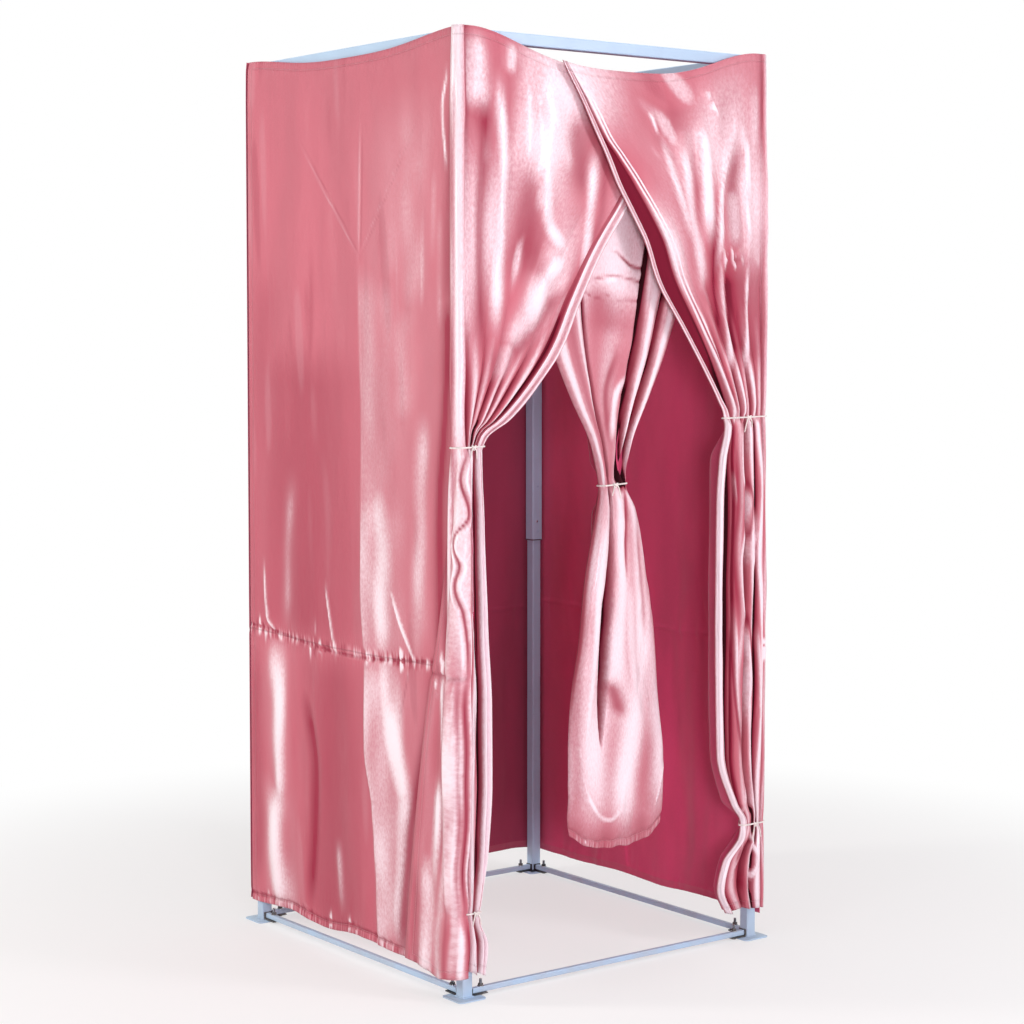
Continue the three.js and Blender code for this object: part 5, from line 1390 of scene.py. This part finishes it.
def foot_bolt_mesh(black, steel):
    """One foot bolt about its own axis: head, washer, nut and threaded end"""
    low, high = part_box("foot_bolt_x_front_left")
    base, top = low.z, high.z
    bar_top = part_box("floor_bar_front")[1].z
    head = new_tube("bolt", HEAD_RADIUS, base, base + HEAD_HEIGHT, 6)
    modify(head, "BEVEL", width=0.0005, segments=2)
    washer = new_tube("washer", WASHER_RADIUS, bar_top + 0.0002, bar_top + 0.0012, 32)
    modify(washer, "BEVEL", width=0.0003, segments=2, limit_method="ANGLE", angle_limit=EDGE_ANGLE)
    nut = new_tube("nut", NUT_RADIUS, bar_top + 0.0013, bar_top + NUT_TOP, 6)
    modify(nut, "BEVEL", width=0.0006, segments=3)
    shaft = []
    for share in np.linspace(0, 1, THREADS * 4 + 1):
        height = bar_top + NUT_TOP + share * (top - 0.0006 - bar_top - NUT_TOP)
        swell = THREAD_DEPTH * math.sin(2 * math.pi * THREADS * share)
        shaft.append((BOLT_RADIUS + swell, height))
    profile = [(BOLT_RADIUS, base + 0.002), (BOLT_RADIUS, bar_top + NUT_TOP)] + shaft
    profile += [(BOLT_TIP, top), (0.0, top)]
    angles = np.linspace(0, 2 * math.pi, BOLT_SIDES, endpoint=False)
    points = [(r * math.cos(a), r * math.sin(a), z) for r, z in profile for a in angles]
    threads = mesh_piece("threads", points, ring_faces(len(profile), BOLT_SIDES))
    modify(threads, "WELD", merge_threshold=0.00001)
    for piece, finish in ((head, black), (washer, steel), (nut, black), (threads, steel)):
        coat(piece, finish)
    return shade(join("bolt", [head, washer, nut, threads]))


class FITTING_OT_bolts(bpy.types.Operator):
    """Fit a bolt with its nut, washer and threads at each end of each floor bar"""

    bl_idname = "fitting.bolts"
    bl_label = "Foot bolts"

    def execute(self, context):
        black = bpy.data.materials["black paint"]
        steel = bpy.data.materials["bright steel"]
        pattern = foot_bolt_mesh(black, steel)
        for corner in CORNERS:
            for way in "xy":
                node = f"foot_bolt_{way}_{corner}"
                low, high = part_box(node)
                place = (low + high) / 2
                bolt = bpy.data.objects.new("threaded_" + node, pattern.data.copy())
                bpy.context.scene.collection.objects.link(bolt)
                bolt.data.transform(Matrix.Translation((place.x, place.y, 0)))
                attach(bolt, LOWER)
                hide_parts(node)
        bpy.data.objects.remove(pattern)
        return {"FINISHED"}


class FITTING_OT_pockets(bpy.types.Operator):
    """Sew a rounded pocket of cloth over each post top"""

    bl_idname = "fitting.pockets"
    bl_label = "Corner pockets"

    def execute(self, context):
        settings, colours = context.scene.fitting_cloth, context.scene.fitting_colours
        satin = satin_finish("pocket satin", (1, 1), settings.hem, colours)
        for corner in CORNERS:
            low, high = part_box("corner_pocket_" + corner)
            pocket = new_cube("sewn_pocket_" + corner, low, high)
            modify(pocket, "BEVEL", width=0.003, segments=4)
            edit((bpy.ops.mesh.select_all, {"action": "DESELECT"}))
            inward = (MIDDLE - (low + high) / 2).xy
            for face in pocket.data.polygons:
                turned_x = face.normal.x * inward.x > 0.3 * abs(inward.x)
                turned_y = face.normal.y * inward.y > 0.3 * abs(inward.y)
                face.select = turned_x or turned_y or face.normal.z < -0.3
            edit((bpy.ops.mesh.select_mode, {"type": "FACE"}), (bpy.ops.mesh.delete, {"type": "FACE"}),
                 (bpy.ops.mesh.select_all, {"action": "SELECT"}),
                 (bpy.ops.mesh.subdivide, {"number_cuts": 4}))
            modify(pocket, "SOLIDIFY", thickness=0.0010, offset=-1)
            uv = pocket.data.uv_layers.new(name="cut")
            for loop in pocket.data.loops:
                co = pocket.data.vertices[loop.vertex_index].co
                uv.data[loop.index].uv = (0.3 + co.x + co.y - low.x - low.y, 0.4 + co.z - low.z)
            dress(shade(pocket, 60), satin, UPPER, "rose_satin", "corner_pocket_" + corner)
        return {"FINISHED"}


# Cords

CORD_SIDES = 12
CORD_RADIUS = 0.0019
KNOT_SIZE = 0.0026


def cord_mesh(name, path, radius, closed):
    """A cord of three twisted strands along a path of points"""
    path = np.asarray(path, float)
    count = len(path)
    after = np.roll(path, -1, axis=0) - path if closed else np.gradient(path, axis=0)
    before = path - np.roll(path, 1, axis=0) if closed else after
    way = after + before
    way /= np.linalg.norm(way, axis=1)[:, None]
    upward = np.tile([0.0, 0.0, 1.0], (count, 1))
    side = np.cross(way, upward)
    weak = np.linalg.norm(side, axis=1) < 0.2
    side[weak] = np.cross(way[weak], [0.0, 1.0, 0.0])
    side /= np.linalg.norm(side, axis=1)[:, None]
    over = np.cross(side, way)
    steps = np.linalg.norm(np.diff(path, axis=0), axis=1)
    run = np.concatenate([[0], np.cumsum(steps)])
    total = run[-1] + (np.linalg.norm(path[0] - path[-1]) if closed else 0)
    turns = max(1, round(total / (radius * 5)))
    points = []
    for i in range(count):
        twist = 2 * math.pi * turns * run[i] / total
        for k in range(CORD_SIDES):
            angle = 2 * math.pi * k / CORD_SIDES
            reach = radius * (0.84 + 0.16 * abs(math.cos(1.5 * (angle - twist))))
            point = path[i] + side[i] * math.cos(angle) * reach + over[i] * math.sin(angle) * reach
            points.append(tuple(point))
    faces = ring_faces(count, CORD_SIDES, closed)
    if not closed:
        ends = (range(CORD_SIDES - 1, -1, -1), range((count - 1) * CORD_SIDES, count * CORD_SIDES))
        faces += [tuple(end) for end in ends]
    piece = mesh_piece(name, points, faces)
    edit((bpy.ops.mesh.select_all, {"action": "SELECT"}),
         (bpy.ops.mesh.normals_make_consistent, {"inside": False}))
    return shade(piece, 80)


def hull(points):
    """The outline of a rubber band drawn round the points, counter-clockwise"""
    points = sorted(set(map(tuple, np.round(points, 5))))

    def half(ordered):
        chain = []
        for x, y in ordered:
            while len(chain) > 1 and ((chain[-1][0] - chain[-2][0]) * (y - chain[-2][1])
                                      <= (chain[-1][1] - chain[-2][1]) * (x - chain[-2][0])):
                chain.pop()
            chain.append((x, y))
        return chain[:-1]

    return np.array(half(points) + half(points[::-1]))


def band_round(outline, reach, height, slope):
    """A cord's middle line drawn round an outline, reach out from it"""
    before, after = np.roll(outline, 1, axis=0), np.roll(outline, -1, axis=0)
    path = []
    for corner, last, following in zip(outline, before, after):
        into, away = corner - last, following - corner
        first = math.atan2(-into[0], into[1])
        turn = (math.atan2(-away[0], away[1]) - first + math.pi) % (2 * math.pi) - math.pi
        for share in np.linspace(0, 1, max(2, int(abs(turn) / 0.25) + 2)):
            a = first + turn * share
            path.append(corner + reach * np.array([math.cos(a), math.sin(a)]))
    path = np.array(path)
    steps = np.linalg.norm(np.roll(path, -1, axis=0) - path, axis=1)
    run = np.concatenate([[0], np.cumsum(steps)])
    closed = np.vstack([path, path[:1]])
    at = np.linspace(0, run[-1], max(40, int(run[-1] / 0.0018)), endpoint=False)
    x, y = np.interp(at, run, closed[:, 0]), np.interp(at, run, closed[:, 1])
    lift = slope * (x - x.mean()) - 0.5 * slope * (y - y.mean())
    return np.stack([x, y, height + lift], -1)


# Each tie: the curtain it holds, its height, the reach in plan of the cloth inside it and whether it
# goes round the post too
TIES = {
    "left_upper": ("left", LEFT_TIES[0], (-0.50, -0.30), True),
    "left_lower": ("left", LEFT_TIES[1], (-0.418, -0.30), False),
    "right_upper": ("right", RIGHT_TIES[0], (0.20, 0.50), True),
    "right_lower": ("right", RIGHT_TIES[1], (0.20, 0.50), True),
    "inner": ("inner", INNER_TIE, (-0.50, 0.50), False),
}


def tied_outline(panel, height, span, holds_post):
    """The outline in plan of what a tie goes round"""
    mesh = bpy.data.objects[panel + "_curtain_panel"].data
    places = np.zeros(len(mesh.vertices) * 3, np.float32)
    mesh.vertices.foreach_get("co", places)
    places = places.reshape(-1, 3).astype(float)
    near = np.abs(places[:, 2] - height) < 0.006
    near &= (places[:, 0] > MIDDLE.x + span[0]) & (places[:, 0] < MIDDLE.x + span[1])
    inside = places[near][:, :2]
    if holds_post:
        low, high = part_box("upper_post_front_" + panel)
        if height < low.z:
            low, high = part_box("lower_post_front_" + panel)
        inside = np.vstack([inside, [(x, y) for x in (low.x, high.x) for y in (low.y, high.y)]])
    return hull(inside)


def knot_path(centre):
    turns = np.linspace(0, 2 * math.pi, 90, endpoint=False)
    return [(centre.x + KNOT_SIZE * (math.sin(t) + 1.1 * math.sin(2 * t)),
             centre.y + 0.0016 * math.sin(3 * t),
             centre.z + KNOT_SIZE * (math.cos(t) - 1.1 * math.cos(2 * t))) for t in turns]


def tail_path(centre, way, rng):
    """One end of a cord, hanging out of its knot to one side"""
    length = rng.uniform(0.018, 0.034)
    lean = rng.uniform(0.2, 0.45)
    t = np.linspace(0, 1, 30)
    return np.stack([centre.x + way * (0.002 + lean * length * t ** 0.7),
                     centre.y - 0.0008 - 0.0012 * np.sin(np.pi * t),
                     centre.z - 0.001 - length * t ** 1.4], -1)


class FITTING_OT_ties(bpy.types.Operator):
    """Tie the curtains back with knotted cords"""

    bl_idname = "fitting.ties"
    bl_label = "Ties"

    def execute(self, context):
        cord = cord_finish("white cord", tuple(context.scene.fitting_colours.cord))
        for seed, (name, (panel, height, span, holds_post)) in enumerate(TIES.items()):
            rng = np.random.default_rng(seed + 5)
            outline = tied_outline(panel, height, span, holds_post)
            loop = band_round(outline, CORD_RADIUS * 0.8, height, rng.uniform(-0.06, 0.06))
            front = loop[np.argmin(loop[:, 1] + 0.15 * np.abs(loop[:, 0] - loop[:, 0].mean()))]
            centre = Vector(front) + Vector((0, -CORD_RADIUS * 0.9, 0))
            pieces = [cord_mesh("loop", loop, CORD_RADIUS, True),
                      cord_mesh("knot", knot_path(centre), CORD_RADIUS * 0.75, True)]
            for way in (-1, 1):
                pieces.append(cord_mesh("tail", tail_path(centre, way, rng), CORD_RADIUS * 0.7, False))
            dress(join("knotted_" + name + "_tie", pieces), cord, UPPER, "white_cord", name + "_tie")
        return {"FINISHED"}


# The stage and the panel


class FITTING_OT_stage(bpy.types.Operator):
    """Set up the floor, the lamps, the world and the camera"""

    bl_idname = "fitting.stage"
    bl_label = "Stage"

    def execute(self, context):
        scene, stage = context.scene, context.scene.fitting_stage
        scene.view_settings.view_transform = "Standard"
        floor = primitive("floor", bpy.ops.mesh.primitive_circle_add, vertices=96, radius=14,
                          fill_type="NGON", location=(MIDDLE.x, MIDDLE.y, 0))
        finish = Finish("floor")
        finish.set(Base_Color=linear(244, 243, 242), Roughness=0.85, Specular_IOR_Level=0.2)
        x, y, _ = finish.parts(finish.objects())
        far = (x * x + y * y).ramp(0.9, 5.0)
        white = finish.node("ShaderNodeEmission", {}, {"Color": (1.0, 1.0, 1.0), "Strength": 1.0})["Emission"]
        plain = Value(finish, finish.shader.outputs["BSDF"])
        ground = finish.mixed(finish.seen() * (0.55 + 0.45 * far), plain, white)
        finish.feed(finish.tree.nodes["Material Output"].inputs["Surface"], ground)
        floor.data.materials.append(finish.material)
        self.world(scene, stage)
        lamps = [
            ("front_right", (1.9, -3.9, 2.5), (0.9, 1.8), 70, (1.0, 0.92, 0.98)),
            ("front_left", (-2.3, -4.4, 1.2), (0.9, 0.9), 84, (1.0, 0.90, 0.99)),
            ("left", (-3.6, 2.1, 2.0), (0.6, 1.8), 80, (1.0, 0.96, 0.93)),
            ("left_front", (-4.4, -1.6, 2.6), (0.8, 0.8), 18, (1.0, 0.97, 0.96)),
            ("top", (0.2, -0.2, 4.4), (2.2, 2.2), 60, (1.0, 0.98, 1.0)),
        ]
        for name, place, size, power, colour in lamps:
            data = bpy.data.lights.new(name, "AREA")
            data.shape = "RECTANGLE"
            data.size, data.size_y = size
            data.energy = power
            data.color = colour
            lamp = bpy.data.objects.new(name, data)
            lamp.location = MIDDLE + Vector(place)
            aim = MIDDLE + Vector((0, 0, 1.05)) - lamp.location
            lamp.rotation_euler = aim.to_track_quat("-Z", "Y").to_euler()
            scene.collection.objects.link(lamp)
        data = bpy.data.cameras.new("camera")
        data.lens = stage.lens
        data.sensor_width = 36
        data.shift_y = stage.shift
        camera = bpy.data.objects.new("camera", data)
        camera.location = MIDDLE + Vector(stage.eye)
        camera.rotation_euler = Euler((math.pi / 2 + stage.pitch, 0, -stage.yaw))
        scene.collection.objects.link(camera)
        scene.camera = camera
        return {"FINISHED"}

    def world(self, scene, stage):
        """An even light, which the camera and mirrors see as white"""
        world = bpy.data.worlds.new("studio")
        world.use_nodes = True
        scene.world = world
        world.node_tree.nodes.clear()
        nodes = Nodes(world.node_tree)
        lights = [nodes.node("ShaderNodeBackground", {}, {"Color": (1.0, 1.0, 1.0), "Strength": strength})
                  for strength in (stage.world, 1.0)]
        mixed = nodes.mixed(nodes.seen(), *(light["Background"] for light in lights))
        nodes.node("ShaderNodeOutputWorld", {}, {"Surface": mixed})


OPERATORS = (FITTING_OT_stage, FITTING_OT_frame, FITTING_OT_bolts, FITTING_OT_walls, FITTING_OT_curtains,
             FITTING_OT_pockets, FITTING_OT_ties)


class FITTING_PT_panel(bpy.types.Panel):
    """The fitting room's sizes, colours and steps"""

    bl_idname = "FITTING_PT_panel"
    bl_label = "Fitting room"
    bl_space_type = "VIEW_3D"
    bl_region_type = "UI"
    bl_category = "Fitting room"

    def draw(self, context):
        scene = context.scene
        for group in (scene.fitting_cloth, scene.fitting_colours, scene.fitting_stage):
            box = self.layout.box()
            for name in group.bl_rna.properties.keys():
                if name not in ("rna_type", "name"):
                    box.prop(group, name)
        for operator in OPERATORS:
            self.layout.operator(operator.bl_idname)


CLASSES = (ClothSettings, ColourSettings, StageSettings, *OPERATORS, FITTING_PT_panel)


def register():
    for made in CLASSES:
        bpy.utils.register_class(made)
    bpy.types.Scene.fitting_cloth = bpy.props.PointerProperty(type=ClothSettings)
    bpy.types.Scene.fitting_colours = bpy.props.PointerProperty(type=ColourSettings)
    bpy.types.Scene.fitting_stage = bpy.props.PointerProperty(type=StageSettings)


def unregister():
    for name in ("fitting_cloth", "fitting_colours", "fitting_stage"):
        delattr(bpy.types.Scene, name)
    for made in reversed(CLASSES):
        bpy.utils.unregister_class(made)


def main():
    register()
    bpy.ops.fitting.stage()
    bpy.ops.fitting.frame()
    bpy.ops.fitting.bolts()
    bpy.ops.fitting.walls()
    bpy.ops.fitting.curtains()
    bpy.ops.fitting.pockets()
    bpy.ops.fitting.ties()


if __name__ == "__main__":
    main()
